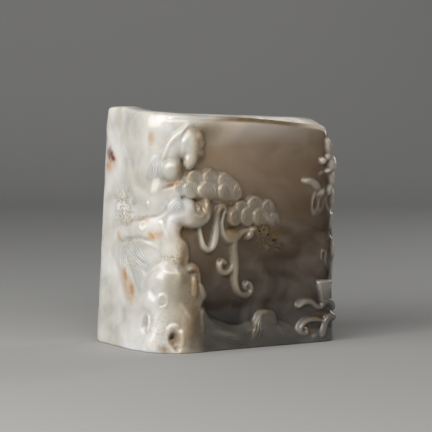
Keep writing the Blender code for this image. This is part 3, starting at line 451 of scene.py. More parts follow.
# Ochre stains, and painted shade on the right sides of forms, under the needle clusters and in hollows
OCHRE_AND_SHADE_MARKS = [
    (8.4, 56.4, 3.8, 4.4, 0.0, 1.0), (9.4, 42.6, 4.0, 2.6, 0.0, 0.8), (10.4, 47.0, 2.4, 6.0, 0.0, 0.5),
    (16.4, 92.0, 3.0, 7.4, 8.0, 0.4), (15.4, 24.0, 3.6, 14.0, 0.0, 0.45), (7.6, 88.0, 1.6, 3.4, 0.0, 0.7),
    (1.6, 2.0, 3.6, 3.0, 0.0, 0.8), (5.4, 6.6, 3.4, 4.0, 0.0, 0.8), (14.0, 13.0, 6.0, 8.0, 0.0, 0.5),
    (54.0, 55.4, 6.4, 3.6, 0.0, 0.9), (36.6, 55.4, 4.4, 2.0, 0.0, 0.9), (0.5, 23.6, 3.4, 3.0, 0.0, 0.3),
    (24.0, 69.4, 10.0, 1.4, 0.0, 0.5), (34.0, 67.8, 8.0, 1.6, -10.0, 0.6),
    (6.4, 85.6, 2.2, 5.0, 0.0, 0.7), (60.0, 53.0, 6.0, 4.0, -30.0, 0.4),
    (84.0, 13.0, 5.0, 2.0, 10.0, 0.6), (79.0, 5.6, 3.0, 2.0, 0.0, 0.6),
]
# Fine yellow-brown dots, in the same terms
DOT_PITCH = 1.3
DOTTED_MARKS = [
    (-29.0, 66.0, 12.0, 11.0, 0.0, 1.0), (-27.0, 60.0, 9.0, 2.6, 8.0, 1.0),
    (-14.0, 61.6, 9.0, 1.6, 10.0, 0.8), (-22.0, 50.6, 12.0, 1.8, 6.0, 0.7),
    (3.5, 43.2, 8.0, 2.6, 0.0, 1.0), (8.6, 50.0, 3.4, 9.0, 0.0, 0.6),
    (-22.0, 41.0, 10.0, 8.0, -30.0, 0.4), (15.6, 94.0, 4.0, 9.0, 8.0, 0.8),
    (13.0, 28.0, 6.0, 14.0, 0.0, 0.6), (16.4, 66.0, 4.0, 5.0, 0.0, 0.5), (52.0, 56.0, 6.0, 4.0, 0.0, 0.9),
    (36.0, 54.0, 6.0, 3.0, 0.0, 0.6), (-2.0, 12.0, 6.0, 8.0, 0.0, 0.4),
    (57.0, 50.0, 8.0, 6.0, -30.0, 0.5), (7.0, 26.0, 9.0, 20.0, 0.0, 0.2),
]
# Forms kept free of the painted shade, in the same terms
UNSHADED_FORMS = [
    (5.0, 67.0, 12.0, 12.0, 0.0, 1.0), (3.0, 93.0, 11.0, 14.0, 0.0, 1.1),
    (21.0, 55.0, 12.0, 12.0, 0.0, 0.75), (20.0, 77.0, 16.0, 7.0, 0.0, 0.45),
    (4.0, 110.0, 30.0, 8.0, 0.0, 1.1),
]
# Painted shade in crevices and on the shaded right sides of the trunk and rock, in the same terms
PAINTED_SHADE_MARKS = [
    (13.6, 38.0, 3.4, 4.6, 0.0, 0.9), (15.4, 12.0, 4.2, 9.0, 0.0, 0.9), (8.8, 55.0, 2.6, 4.6, 0.0, 0.5),
    (10.4, 47.0, 3.0, 7.0, 0.0, 0.8), (15.6, 24.0, 3.0, 8.0, 0.0, 0.5), (10.4, 40.8, 5.0, 3.4, 0.0, 1.0),
    (4.0, 41.0, 6.4, 2.2, 0.0, 0.6), (10.6, 34.0, 3.4, 6.0, 0.0, 0.5), (17.6, 14.0, 5.0, 10.0, 0.0, 1.0),
    (9.0, 61.0, 8.0, 2.4, 10.0, 0.3),
]
# Painted glints on edges of the thin wall, in the same terms
PAINTED_GLINT_EDGES = [
    (49.4, 10.6, 6.6, 1.3, 64.0, 0.7), (53.6, 16.2, 2.6, 0.9, 10.0, 0.5),
    (32.0, 7.4, 9.0, 1.6, -14.0, 0.2),
]
SPECKS = [
    (57.6, 52.0, 0.8, 0.7, 0.0, 2.0), (61.3, 49.3, 1.4, 0.6, 0.0, 2.0), (52.2, 54.0, 0.8, 0.8, 0.0, 1.2),
    (55.4, 56.6, 0.6, 0.7, 0.0, 1.2), (53.2, 56.8, 0.6, 0.7, 0.0, 1.0), (50.8, 55.0, 0.7, 0.8, 0.0, 0.8),
    (53.0, 52.6, 0.6, 0.5, 0.0, 1.2), (4.8, 7.0, 0.9, 0.8, 20.0, 1.0), (54.6, 54.6, 0.5, 0.6, 0.0, 1.0),
]

# Forms on the thin wall take its brown, more so away from the trunk, and less on the right corner
THIN_FROM = 8.0
THIN_FULL = 46.0
THIN_FORMS = 0.5
THIN_RISE_FROM = 0.2
THIN_RISE = 1.6
FORM_PALE = 0.2
FORM_PALE_RISE = 1.5
FORM_PALE_FROM = 66.0
FORM_PALE_FADE = 8.0
MOUTH_TONE = 0.15
INSIDE_TONE = 0.45
# Dust and painted shade in fine and broad hollows: how far they are smoothed over to find them,
# and their full depth
FINE_PASSES = 6
FINE_DEPTH = 0.5
FINE_DUST_AND_SHADE = 0.6
BROAD_PASSES = 60
BROAD_DEPTH = 1.6
NEAR_PASSES = 40
NEAR_RISE = 0.5
DUST_AND_SHADE_BELOW_RIM = 1.4
DUST_AND_SHADE_OFF_WALL = 0.8
# Painted shade on slopes turned to the right and down, away from the lamps
SLOPE_SHADE_RIGHT = 0.55
SLOPE_SHADE_DOWN = 0.3
SLOPE_SHADE_FROM = -6.0
SLOPE_SHADE_FADE = 14.0
SLOPE_SHADE_PASSES = 3
SLOPE_SHADE_LIFTED = 0.5
# Painted shade on the forms: brown to the right of the near corner, greyer on the right corner, gone at the
# back
SIDE_SHADE_FROM = -3.0
SIDE_SHADE_FADE = 23.0
SIDE_SHADE_TO = 64.0
SIDE_SHADE_TO_FADE = 22.0
SIDE_SHADE_LEFT_OVER = 0.35
SIDE_SHADE_END = 222.0
SIDE_SHADE_END_FADE = 30.0
# The thin wall's brown ends at the right corner. A painted glow pales it under the rim, and painted
# light pales it lower down beside the near corner
WALL_TONE_TO = 91.0
WALL_TONE_FADE = 13.0
RIM_GLOW_BAND = 2.4
WALL_PAINTED_LIGHT_FROM = 90.0
WALL_PAINTED_LIGHT_RISE = 12.0
WALL_PAINTED_LIGHT_TO = 12.0
WALL_PAINTED_LIGHT_FADE = 26.0
# Painted shade, in the thin wall's dark brown, over the ledge and the rock's right side
FOOT_SHADE = 0.85
FOOT_SHADE_FROM = 9.0
FOOT_SHADE_TO = 92.0
FOOT_SHADE_TOP = 22.0
FOOT_SHADE_FADE = 14.0

# Noises in the stone: (size in millimetres, detail, distortion)
CLOUDS = (30.0, 2.0, 0.8)
WISPS = (14.0, 3.0, 0.7)
VEINS = (22.0, 3.0, 1.0)
GRAIN = (3.0, 4.0, 0.5)
FLECKS = (1.6, 3.0, 0.4)
RUST_CLOUDS = (5.0, 4.0, 1.0)
SHEEN = (2.2, 3.0)
PITS = (1.2, 2.0)

# How a value lets a tone show: (value from, value to), and for some the share before and beyond them
CLOUDS_SHOW = (0.36, 0.64)
WISPS_SHOW = (0.45, 0.75)
VEINS_SHOW = (0.45, 0.75, 0.0, 0.22)
WARMTH_SHOWS = (0.0, 0.4)
SIDE_SHADE_SHOWS = (0.3, 1.0)
SIDE_SHADE_GRAIN = (0.25, 0.7, 0.7, 1.0)
DUST_AND_SHADE_GRAIN = (0.3, 0.7, 0.35, 1.0)
OCHRE_AND_SHADE_GRAIN = (0.34, 0.6, 0.35, 1.0)
DOTS_SHOW = (0.2, 0.55, 0.85, 0.0)
RUST_GRAIN = (0.3, 0.62, 0.25, 1.0)
IRON_GRAIN = (0.25, 0.6, 0.4, 1.0)
WISP_SHARE = 0.4
DUST_AND_SHADE_SHARE = 0.85
STAIN_SHARE = 0.8

# Colours of the thick stone, and of the thin wall: at its foot, and then (from, to, colour) upwards and
# (from, to, tint) to the right, in metres
CLOUD_LIGHT = "#dcdad6"
CLOUD_DARK = "#bdbab1"
WISP_WHITE = "#ebe9e6"
# The thin wall's dark foot and greyer right are painted shade, its pale band by the rim a painted glow
THIN_SHADED_FOOT = "#2f2923"
THIN_GLOW_UPWARDS = [(0.012, 0.05, "#78644f"), (0.05, 0.098, "#c6ae92"), (0.094, 0.104, "#efe5da")]
THIN_SHADE_RIGHTWARDS = (-0.02, 0.045, "#928a84")
VEIN_PALE = "#bcae9e"

# Colours of painted shade, of dust with painted shade, and of stains, the ochre partly painted shade
WARM_TINT = "#f5ecdc"
SIDE_SHADE_TINT = "#a38c6c"
DUST_AND_SHADE_BROWN = "#6f5a3f"
OCHRE_AND_SHADE = "#80602f"
DOT_BROWN = "#a38a52"
RUST = "#bd8636"
IRON = "#6e2f17"
SPECK_BLACK = "#1d1208"

# Polish: a noise's span and the roughness at its ends, dust's share of roughness, and pits in millimetres
POLISH = (0.3, 0.7, 0.12, 0.2)
DUST_ROUGHNESS = 0.3
PIT_STRENGTH = 0.08
PIT_DEPTH = 0.1
NEPHRITE_IOR = 1.61
SCATTER_COLOURS = (1.0, 0.72, 0.45)
SCATTER_DEPTH = 4.0

# Sweep of paper, in metres
SWEEP_WIDTH = 3.2
SWEEP_FRONT = -2.4
SWEEP_BACK = 1.1
SWEEP_RISE = 1.4
SWEEP_BEND = 0.35
SWEEP_STEPS = 12

# Soft boxes: name, turn round the pot and height in degrees, distance, width, height in metres, and power
SOFT_BOXES = [
    ("left_soft_box", -88.0, 24.0, 0.9, 0.6, 0.6, 5.0),
    ("top_soft_box", -50.0, 38.0, 0.9, 1.0, 0.42, 4.6),
    ("front_fill", -6.0, 30.0, 1.1, 0.9, 0.6, 1.7),
    ("right_strip", 98.0, 22.0, 0.8, 0.12, 0.5, 1.2),
    ("glint_lamp", -56.0, 26.0, 0.9, 0.06, 0.06, 0.45),
]
ROOM_LIGHT = 0.08

# Camera: turned to the left of the front, a little above the pot
CAMERA_TURN = -30.65
CAMERA_DISTANCE = 1.1341
CAMERA_HEIGHT = 0.1607
CAMERA_PITCH = 5.11
CAMERA_ASIDE = 0.0009
FRAME_PIXELS = 432
FOCAL_PIXELS = 2404.0
SENSOR_MM = 36.0


def side_lengths():
    """Lengths of the corners and straight sides at the foot, from the start of the near corner."""
    quarter = math.pi / 2
    return [
        CORNER_NEAR * quarter, BASE_WIDTH - CORNER_NEAR - CORNER_RIGHT,
        CORNER_RIGHT * quarter, BASE_DEPTH - CORNER_RIGHT - CORNER_BACK,
        CORNER_BACK * quarter, BASE_WIDTH - CORNER_BACK - CORNER_LEFT,
        CORNER_LEFT * quarter, BASE_DEPTH - CORNER_LEFT - CORNER_NEAR,
    ]


def on_wall(u, z, out):
    """Points, in millimetres, at u and z of the sheet and a distance out from the plain wall."""
    u, z, out = np.broadcast_arrays(np.asarray(u, float), np.asarray(z, float), np.asarray(out, float))
    lengths = side_lengths()
    girth = sum(lengths)
    start = -lengths[0] / 2
    edges = np.cumsum([start] + lengths)
    along = (u * girth / SHEET_GIRTH - start) % girth + start
    height = z * HEIGHT / SHEET_HEIGHT
    share = height / HEIGHT
    left = -BASE_WIDTH / 2 + LEAN_LEFT * share - out
    right = BASE_WIDTH / 2 - LEAN_RIGHT * share + out
    front = -BASE_DEPTH / 2 + LEAN_FRONT * share - out
    back = BASE_DEPTH / 2 - LEAN_BACK * share + out
    near_r, right_r, back_r, left_r = [
        np.maximum(radius + out, INNER_CORNER_MIN)
        for radius in (CORNER_NEAR, CORNER_RIGHT, CORNER_BACK, CORNER_LEFT)
    ]
    corners = [
        (left + near_r, front + near_r, near_r, 180.0), (right - right_r, front + right_r, right_r, 270.0),
        (right - back_r, back - back_r, back_r, 0.0), (left + left_r, back - left_r, left_r, 90.0),
    ]
    side = np.clip(np.searchsorted(edges, along, side="right") - 1, 0, 7)
    part = (along - edges[side]) / np.asarray(lengths)[side]
    x = np.zeros(u.shape)
    y = np.zeros(u.shape)
    for i, (cx, cy, radius, turn) in enumerate(corners):
        nx, ny, next_radius = corners[(i + 1) % 4][:3]
        angle = np.radians(turn + 90.0 * part)
        arc = side == 2 * i
        x[arc] = (cx + radius * np.cos(angle))[arc]
        y[arc] = (cy + radius * np.sin(angle))[arc]
        run = side == 2 * i + 1
        leave = math.radians(turn + 90.0)
        x_from = cx + radius * math.cos(leave)
        y_from = cy + radius * math.sin(leave)
        x_to = nx + next_radius * math.cos(leave)
        y_to = ny + next_radius * math.sin(leave)
        x[run] = (x_from + part * (x_to - x_from))[run]
        y[run] = (y_from + part * (y_to - y_from))[run]
    return np.stack([x, y, height], axis=-1)


def curve_through(points, step, closed=False):
    """Points about a step apart on a smooth curve through the given ones."""
    given = np.asarray(points, float)
    count = len(given)
    found = []
    for i in range(count if closed else count - 1):
        if closed:
            a, b, c, d = [given[(i + k) % count] for k in (-1, 0, 1, 2)]
        else:
            a, b, c, d = [given[min(max(i + k, 0), count - 1)] for k in (-1, 0, 1, 2)]
        pieces = max(1, round(math.dist(b[:2], c[:2]) / step))
        for k in range(pieces):
            t = k / pieces
            found.append(0.5 * (2 * b + (c - a) * t + (2 * a - 5 * b + 4 * c - d) * t ** 2
                                + (3 * b - a - 3 * c + d) * t ** 3))
    if not closed:
        found.append(given[-1])
    return np.array(found)


def rim_height(u):
    """Height of the rim at u, on the sheet, as a smooth curve through the rim's heights."""
    first = RIM_LINE[0][0]
    places = [(u0 + turn * SHEET_GIRTH, z0) for turn in (-1, 0, 1) for u0, z0 in RIM_LINE]
    line = curve_through(places, RIM_STEP)
    return np.interp((np.asarray(u, float) - first) % SHEET_GIRTH + first, line[:, 0], line[:, 1])


def ease(value):
    """Smooth step from 0 to 1."""
    value = np.clip(value, 0.0, 1.0)
    return value * value * (3.0 - 2.0 * value)


def distance_inside(u, z, outline):
    """Distance of each point from a closed outline, positive inside it."""
    nearest = np.full(u.shape, np.inf)
    inside = np.zeros(u.shape, bool)
    for a, b in zip(outline, np.roll(outline, -1, axis=0)):
        edge = b - a
        t = np.clip(((u - a[0]) * edge[0] + (z - a[1]) * edge[1]) / max(edge @ edge, 1e-9), 0.0, 1.0)
        nearest = np.minimum(nearest, np.hypot(u - a[0] - t * edge[0], z - a[1] - t * edge[1]))
        if a[1] != b[1]:
            crossing = a[0] + (z - a[1]) * edge[0] / edge[1]
            inside ^= ((a[1] > z) != (b[1] > z)) & (u < crossing)
    return np.where(inside, nearest, -nearest)


def path_distance(u, z, line):
    """Distance of each point from an open path, and the path's third value at the nearest place."""
    nearest = np.full(u.shape, np.inf)
    value = np.zeros(u.shape)
    for a, b in zip(line[:-1], line[1:]):
        du, dz = b[0] - a[0], b[1] - a[1]
        t = np.clip(((u - a[0]) * du + (z - a[1]) * dz) / max(du * du + dz * dz, 1e-9), 0.0, 1.0)
        away = np.hypot(u - a[0] - t * du, z - a[1] - t * dz)
        closer = away < nearest
        nearest[closer] = away[closer]
        value[closer] = (a[2] + t * (b[2] - a[2]))[closer]
    return nearest, value


def near_path(u, z, line, reach):
    """Which points lie in the box round a path, widened by a reach."""
    low, high = line[:, :2].min(axis=0) - reach, line[:, :2].max(axis=0) + reach
    return (u > low[0]) & (u < high[0]) & (z > low[1]) & (z < high[1])


def turned(u, z, centre_u, centre_z, turn):
    """Places along and across an axis turned by some degrees."""
    cos, sin = math.cos(math.radians(turn)), math.sin(math.radians(turn))
    return (u - centre_u) * cos + (z - centre_z) * sin, (z - centre_z) * cos - (u - centre_u) * sin


def abreast(u, outline):
    """Which points lie between an outline's left and right ends."""
    return (u > outline[:, 0].min()) & (u < outline[:, 0].max())


def ground_cover(u, z):
    """How far inside the sunk ground each point is, from 0 outside to 1."""
    outline = curve_through(GROUND_OUTLINE, OUTLINE_STEP, closed=True)
    near = abreast(u, outline)
    cover = np.zeros(u.shape)
    soft = ease((LEDGE_TOP - z[near]) / LEDGE_FADE)
    slope = GROUND_EDGE_SLOPE + (LEDGE_SLOPE - GROUND_EDGE_SLOPE) * soft
    cover[near] = ease(distance_inside(u[near], z[near], outline) / slope)
    return cover


def rock_cover(u, z):
    """How far inside the rock each point is, from 0 outside to 1."""
    outline = curve_through(ROCK_OUTLINE, OUTLINE_STEP, closed=True)
    near = abreast(u, outline)
    cover = np.zeros(u.shape)
    cover[near] = ease(distance_inside(u[near], z[near], outline) / ROCK_EDGE_SLOPE)
    return cover


def add_mounds(u, z, out, mounds):
    for centre_u, centre_z, length, width, turn, rise in mounds:
        along, across = turned(u, z, centre_u, centre_z, turn)
        out += rise * np.clip(1.0 - (along / length) ** 2 - (across / width) ** 2, 0.0, 1.0) ** SWELL_CROWN


def ground(u, z):
    """How far the ground lies out from the plain wall: sunk on the front, with soft swells elsewhere."""
    depth = ground_cover(u, z) * ease((rim_height(u) - z - RIM_BAND) / RIM_BAND_FADE)
    depth *= 1.0 - ease((u - GROUND_FADE_START) / (GROUND_FADE_END - GROUND_FADE_START))
    out = -GROUND_DEPTH * depth
    out += ROCK_RISE * rock_cover(u, z) * (1.0 - depth)
    add_mounds(u, z, out, SWELLS)
    return out


def round_off(distance, radius):
    """How far a rounded edge draws back at a distance from the edge."""
    within = np.clip(radius - distance, 0.0, radius)
    return radius - np.sqrt(radius ** 2 - within ** 2)


def lobe_height(u, z, lobe, seat, blunt, tilt=0.0):
    """Height of a rounded lobe on a seat. A blunt below 1 squares its shoulders, a tilt lifts its left."""
    centre_u, centre_z, length, width, turn, top = lobe
    along, across = turned(u, z, centre_u, centre_z, turn)
    reach = np.hypot(along / length, across / width)
    power = 2.0 / blunt
    crown = np.clip(1.0 - np.minimum(reach, 1.0) ** power, 0.0, 1.0) ** (1.0 / power)
    side = np.maximum(reach - 1.0, 0.0) * min(length, width) * SIDE_STEEPNESS
    return seat + (top - seat) * crown - tilt * along * (crown > 0.0) - side


def stem_height(u, z, line, seat, lift):
    """Height of a round stem whose middle stands lift radii off the seat."""
    away, radius = path_distance(u, z, line)
    crown = np.sqrt(np.clip(1.0 - (away / radius) ** 2, 0.0, 1.0))
    side = np.maximum(away - radius, 0.0) * SIDE_STEEPNESS
    return seat + radius * (lift + crown) - side


def raise_to(out, where, height, fillet=FILLET):
    """Raises part of the surface to a form's height, with a small fillet where they meet."""
    below = out[where]
    overlap = np.maximum(fillet - np.abs(below - height), 0.0) / fillet
    out[where] = np.maximum(below, height) + overlap ** 2 * fillet / 4


def raise_lobes(u, z, out, lobes, seat, blunt, tilt=0.0):
    for lobe in lobes:
        reach = max(lobe[2], lobe[3]) + FORM_MARGIN
        where = (np.abs(u - lobe[0]) < reach) & (np.abs(z - lobe[1]) < reach)
        raise_to(out, where, lobe_height(u[where], z[where], lobe, seat, blunt, tilt))


def raise_stems(u, z, out, paths, seat, lift):
    for path in paths:
        line = curve_through(path, PATH_STEP)
        where = near_path(u, z, line, line[:, 2].max() + FORM_MARGIN)
        raise_to(out, where, stem_height(u[where], z[where], line, seat, lift))


def raise_beds(u, z, out, beds):
    """Flat forms with softened edges over closed outlines."""
    for outline, top, bevel in beds:
        edge = curve_through(outline, EDGE_STEP, closed=True)
        where = near_path(u, z, edge, BED_MARGIN)
        inside = distance_inside(u[where], z[where], edge)
        height = top - round_off(np.maximum(inside, 0.0), bevel) - np.maximum(-inside, 0.0) * SIDE_STEEPNESS
        raise_to(out, where, height)


def fan_edges(fans):
    """The raised left edge of each fan, as ridges: it catches the light as a slanted line."""
    ridges = []
    for u, z, width, height, turn, top in fans:
        cos, sin = math.cos(math.radians(turn)), math.sin(math.radians(turn))
        path = []
        for angle in np.radians(np.linspace(FAN_EDGE_FROM, FAN_EDGE_TO, 5)):
            a, b = width * FAN_EDGE_INSET * math.cos(angle), height * FAN_EDGE_INSET * math.sin(angle)
            path.append((u + a * cos - b * sin, z + a * sin + b * cos))
        ridges.append((FAN_EDGE_WIDTH, FAN_EDGE_RISE, path))
    return ridges


def add_lines(u, z, out, lines):
    """Ridges or grooves with a soft profile, thinned to nothing at both ends."""
    for half_width, rise, path in lines:
        line = curve_through([(*place, 0.0) for place in path], PATH_STEP)
        line[:, 2] = np.sin(np.linspace(0.0, math.pi, len(line))) ** STROKE_ENDS
        where = near_path(u, z, line, half_width * 2.0)
        away, strength = path_distance(u[where], z[where], line)
        out[where] += rise * strength * (1.0 - ease(away / (half_width * 2.0)))


def add_ring(u, z, out, ring):
    centre_u, centre_z, length, width, turn, rise = ring
    along, across = turned(u, z, centre_u, centre_z, turn)
    reach = np.hypot(along / length, across / width)
    out += rise * (1.0 - ease(np.abs(reach - 1.0) * min(length, width) / RING_HALF_WIDTH))


def hand_waver(u, z):
    """The faint unevenness left by grinding and polishing by hand, as crossing waves through space."""
    place = on_wall(u, z, 0.0)
    draw = np.random.default_rng(WAVER_SEED)
    total = np.zeros(u.shape)
    for size in np.linspace(*WAVER_SIZES, WAVER_COUNT):
        way = draw.normal(size=3)
        way *= 2 * math.pi / size / np.linalg.norm(way)
        total += np.sin(place @ way + draw.uniform(0.0, 2 * math.pi)) * size
    return total * WAVER_SLOPE


def carved(u, z):
    """How far the finished carving stands out from the plain wall."""
    out = ground(u, z)
    raise_beds(u, z, out, FAN_BEDS)
    raise_lobes(u, z, out, FRONT_FANS, -GROUND_DEPTH, FAN_BLUNT, FAN_TILT)
    raise_lobes(u, z, out, SIDE_FANS + BACK_FANS, OUTER_FAN_SEAT, FAN_BLUNT, FAN_TILT)
    raise_lobes(u, z, out, LEAF_LOBES + TREE_LOBES, -GROUND_DEPTH, LOBE_BLUNT)
    raise_lobes(u, z, out, ROCK_LOBES, -GROUND_DEPTH, ROCK_BLUNT)
    raise_lobes(u, z, out, CORNER_LOBES, CORNER_SEAT, LOBE_BLUNT)
    raise_beds(u, z, out, [(POD_OUTLINE, POD_TOP, POD_BEVEL), (PEAK_OUTLINE, PEAK_TOP, PEAK_BEVEL)])
    raise_stems(u, z, out, BRANCH_PATHS, -GROUND_DEPTH, BRANCH_LIFT)
    raise_stems(u, z, out, TWIG_PATHS, -GROUND_DEPTH, TWIG_LIFT)
    raise_stems(u, z, out, CORNER_PATHS, CORNER_STEM_SEAT, CORNER_STEM_LIFT)
    raise_stems(u, z, out, BACK_PATHS, 0.0, BACK_STEM_LIFT)
    add_mounds(u, z, out, HOLLOWS)
    add_lines(u, z, out, RIDGES + GROOVES + fan_edges(FRONT_FANS))
    for ring in OVAL_RINGS:
        add_ring(u, z, out, ring)
    out += hand_waver(u, z) * (1.0 + ROCK_WAVER * rock_cover(u, z))
    return np.maximum(out, CARVED_WALL_MIN - WALL)


def carved_softly(u, z, du, dz):
    """The carving as the mean of four places in each cell, so that steep sides run smoothly over them."""
    shifts = [(-0.25, -0.25), (0.25, -0.25), (-0.25, 0.25), (0.25, 0.25)]
    return sum(carved(u + a * du, z + b * dz) for a, b in shifts) / len(shifts)


def column_places():
    places = []
    for low, high, pitch in COLUMN_STRETCHES:
        places.extend(np.linspace(low, high, round((high - low) / pitch), endpoint=False))
    return np.array(places)


def wall_rows(u):
    """Rows of the outside, from the foot's edge to the top of the rim: heights, and how far out each is."""
    rim = rim_height(u)
    rounding = np.linspace(0.0, 1.0, ROUND_ROWS) ** ROUND_SPACING
    levels = [FOOT_ROUND * step + 0.0 * u for step in rounding]
    for k in range(1, WALL_ROWS):
        levels.append(FOOT_ROUND + (rim - RIM_ROUND - FOOT_ROUND) * k / WALL_ROWS)
    levels += [rim - RIM_ROUND * step for step in reversed(rounding)]
    z = np.array(levels)
    u_grid = np.broadcast_to(u, z.shape)
    du = np.abs(np.gradient(u_grid, axis=1))
    dz = np.abs(np.gradient(z, axis=0))
    out = carved_softly(u_grid, z, du, dz)
    edges = round_off(np.maximum(z, 0.0), FOOT_ROUND) + round_off(rim - z, RIM_ROUND)
    drop = RIM_EASE_DROP + RIM_EASE_CORNER * ease(RIM_EASE_FLAT - np.abs(u) / RIM_EASE_REACH)
    eased = drop * np.clip(1.0 - (rim - z) / RIM_EASE, 0.0, 1.0) ** 2
    return z, out - edges - eased


def hollow_rows(u):
    """Rows from the top of the rim, over the mouth's edge and down to the floor."""
    rim = rim_height(u)
    rows = []
    for step in np.linspace(0.0, 1.0, ROUND_ROWS):
        angle = step * math.pi / 2
        rows.append((rim - MOUTH_ROUND * (1 - math.cos(angle)), -WALL + MOUTH_ROUND * (1 - math.sin(angle))))
    low = FLOOR + FLOOR_ROUND
    for k in range(1, HOLLOW_ROWS):
        rows.append((rim - MOUTH_ROUND + (low - rim + MOUTH_ROUND) * k / HOLLOW_ROWS, -WALL))
    for step in np.linspace(0.0, 1.0, ROUND_ROWS):
        angle = step * math.pi / 2
        rows.append((low - FLOOR_ROUND * math.sin(angle), -WALL - FLOOR_ROUND * (1 - math.cos(angle))))
    return rows


def towards(points, centre, count):
    """Rings that shrink evenly from a ring of points to its centre."""
    return [points + (centre - points) * k / count for k in range(1, count)]


def skin_rows(u):
    """All rings of the skin, from the middle of the underside to the middle of the floor inside."""
    z, out = wall_rows(u)
    rows = [on_wall(u, z[i], out[i]) for i in range(len(z))]
    under = towards(rows[0], np.array([0.0, 0.0, 0.0]), FLAT_ROWS)
    inside = [on_wall(u, level + 0.0 * u, depth) for level, depth in hollow_rows(u)]
    floor = towards(inside[-1], np.array([0.0, 0.0, FLOOR]), FLAT_ROWS)
    return np.array(list(reversed(under)) + rows + inside + floor), z, out, len(under)


def skin_faces(rows, columns):
    """Quads between the rings, and triangles to the points that close both ends."""
    faces = []
    for r in range(rows - 1):
        for c in range(columns):
            d = (c + 1) % columns
            faces.append((r * columns + c, r * columns + d, (r + 1) * columns + d, (r + 1) * columns + c))
    low, high = rows * columns, rows * columns + 1
    for c in range(columns):
        d = (c + 1) % columns
        faces.append((d, c, low))
        faces.append(((rows - 1) * columns + c, (rows - 1) * columns + d, high))
    return faces


def make_mesh(name, points, faces, material):
    mesh = bpy.data.meshes.new(name)
    mesh.from_pydata((np.asarray(points) * MM).tolist(), [], faces)
    mesh.update()
    mesh.shade_smooth()
    mesh.materials.append(material)
    return mesh


def add_object(name, data):
    item = bpy.data.objects.new(name, data)
    bpy.context.scene.collection.objects.link(item)
    return item


def spot(u, z, place):
    """A soft-edged oval patch: (u, z, half length, half width, turn, strength)."""
    centre_u, centre_z, length, width, turn, strength = place
    near_u = centre_u + (u - centre_u + SHEET_GIRTH / 2) % SHEET_GIRTH - SHEET_GIRTH / 2
    along, across = turned(near_u, z, centre_u, centre_z, turn)
    return np.minimum(strength * ease(SPOT_REACH - np.hypot(along / length, across / width)), 1.0)


def spots(u, z, places):
    """The strongest of several patches at each place."""
    return np.max([spot(u, z, place) for place in places], axis=0)


def blurred(grid, passes):
    """A grid smoothed along both of its ways; it closes on itself across."""
    for _ in range(passes):
        grid = (np.roll(grid, 1, axis=1) + 2 * grid + np.roll(grid, -1, axis=1)) / 4
        padded = np.vstack([grid[:1], grid, grid[-1:]])
        grid = (padded[:-2] + 2 * padded[1:-1] + padded[2:]) / 4
    return grid


def wall_tone(u, z, raised, cover):
    """How much each place has of the thin wall's brown, with its painted shade, glow and glints."""
    far = ease((u - THIN_FROM) / (THIN_FULL - THIN_FROM))
    tone = cover * (1.0 - (1.0 - THIN_FORMS * far) * ease((raised - THIN_RISE_FROM) / THIN_RISE))
    # painted shade over the ledge and the rock's right side, in the thin wall's dark brown
    foot = ease((u - FOOT_SHADE_FROM) / FOOT_SHADE_FADE) * (1.0 - ease((u - FOOT_SHADE_TO) / FOOT_SHADE_FADE))
    foot *= FOOT_SHADE * (1.0 - ease((z - FOOT_SHADE_TOP) / FOOT_SHADE_FADE))
    pale = FORM_PALE * ease(raised / FORM_PALE_RISE) * ease((u - FORM_PALE_FROM) / FORM_PALE_FADE)
    tone = np.maximum(tone, foot) * (1.0 - pale)
    # painted light: the wall is paler at the top beside the near corner
    beside = 1.0 - ease((u - WALL_PAINTED_LIGHT_TO) / WALL_PAINTED_LIGHT_FADE)
    tone *= 1.0 - ease((z - WALL_PAINTED_LIGHT_FROM) / WALL_PAINTED_LIGHT_RISE) * beside
    # painted glow: a white band under the rim
    tone *= 1.0 - ease((z - rim_height(u) + RIM_GLOW_BAND) / (RIM_GLOW_BAND / 2))
    tone *= 1.0 - ease((u - WALL_TONE_TO) / WALL_TONE_FADE)
    # paler where painted glints lie on edges of the peak and the ledge
    return tone * (1.0 - spots(u, z, PAINTED_GLINT_EDGES))


def dust_and_painted_shade(u, z, out, fine, raised, cover, tone):
    """Dust and painted shade at each place: in fine hollows, broad ones near the forms, and some crevices."""
    plain = cover * (1.0 - np.clip(blurred(np.maximum(raised, 0.0), NEAR_PASSES) / NEAR_RISE, 0.0, 1.0))
    broad = blurred(fine, BROAD_PASSES)
    dust = np.clip((fine - out) / FINE_DEPTH, 0.0, 1.0) * FINE_DUST_AND_SHADE
    dust += np.clip((broad - out) / BROAD_DEPTH, 0.0, 1.0) * (1.0 - plain)
    # painted shade in some crevices and on the shaded right sides
    dust = np.maximum(dust, spots(u, z, PAINTED_SHADE_MARKS) * (1.0 - tone))
    dust *= ease((rim_height(u) - z - DUST_AND_SHADE_BELOW_RIM) / DUST_AND_SHADE_BELOW_RIM) * (1.0 - DUST_AND_SHADE_OFF_WALL * cover)
    return np.clip(dust, 0.0, 1.0)


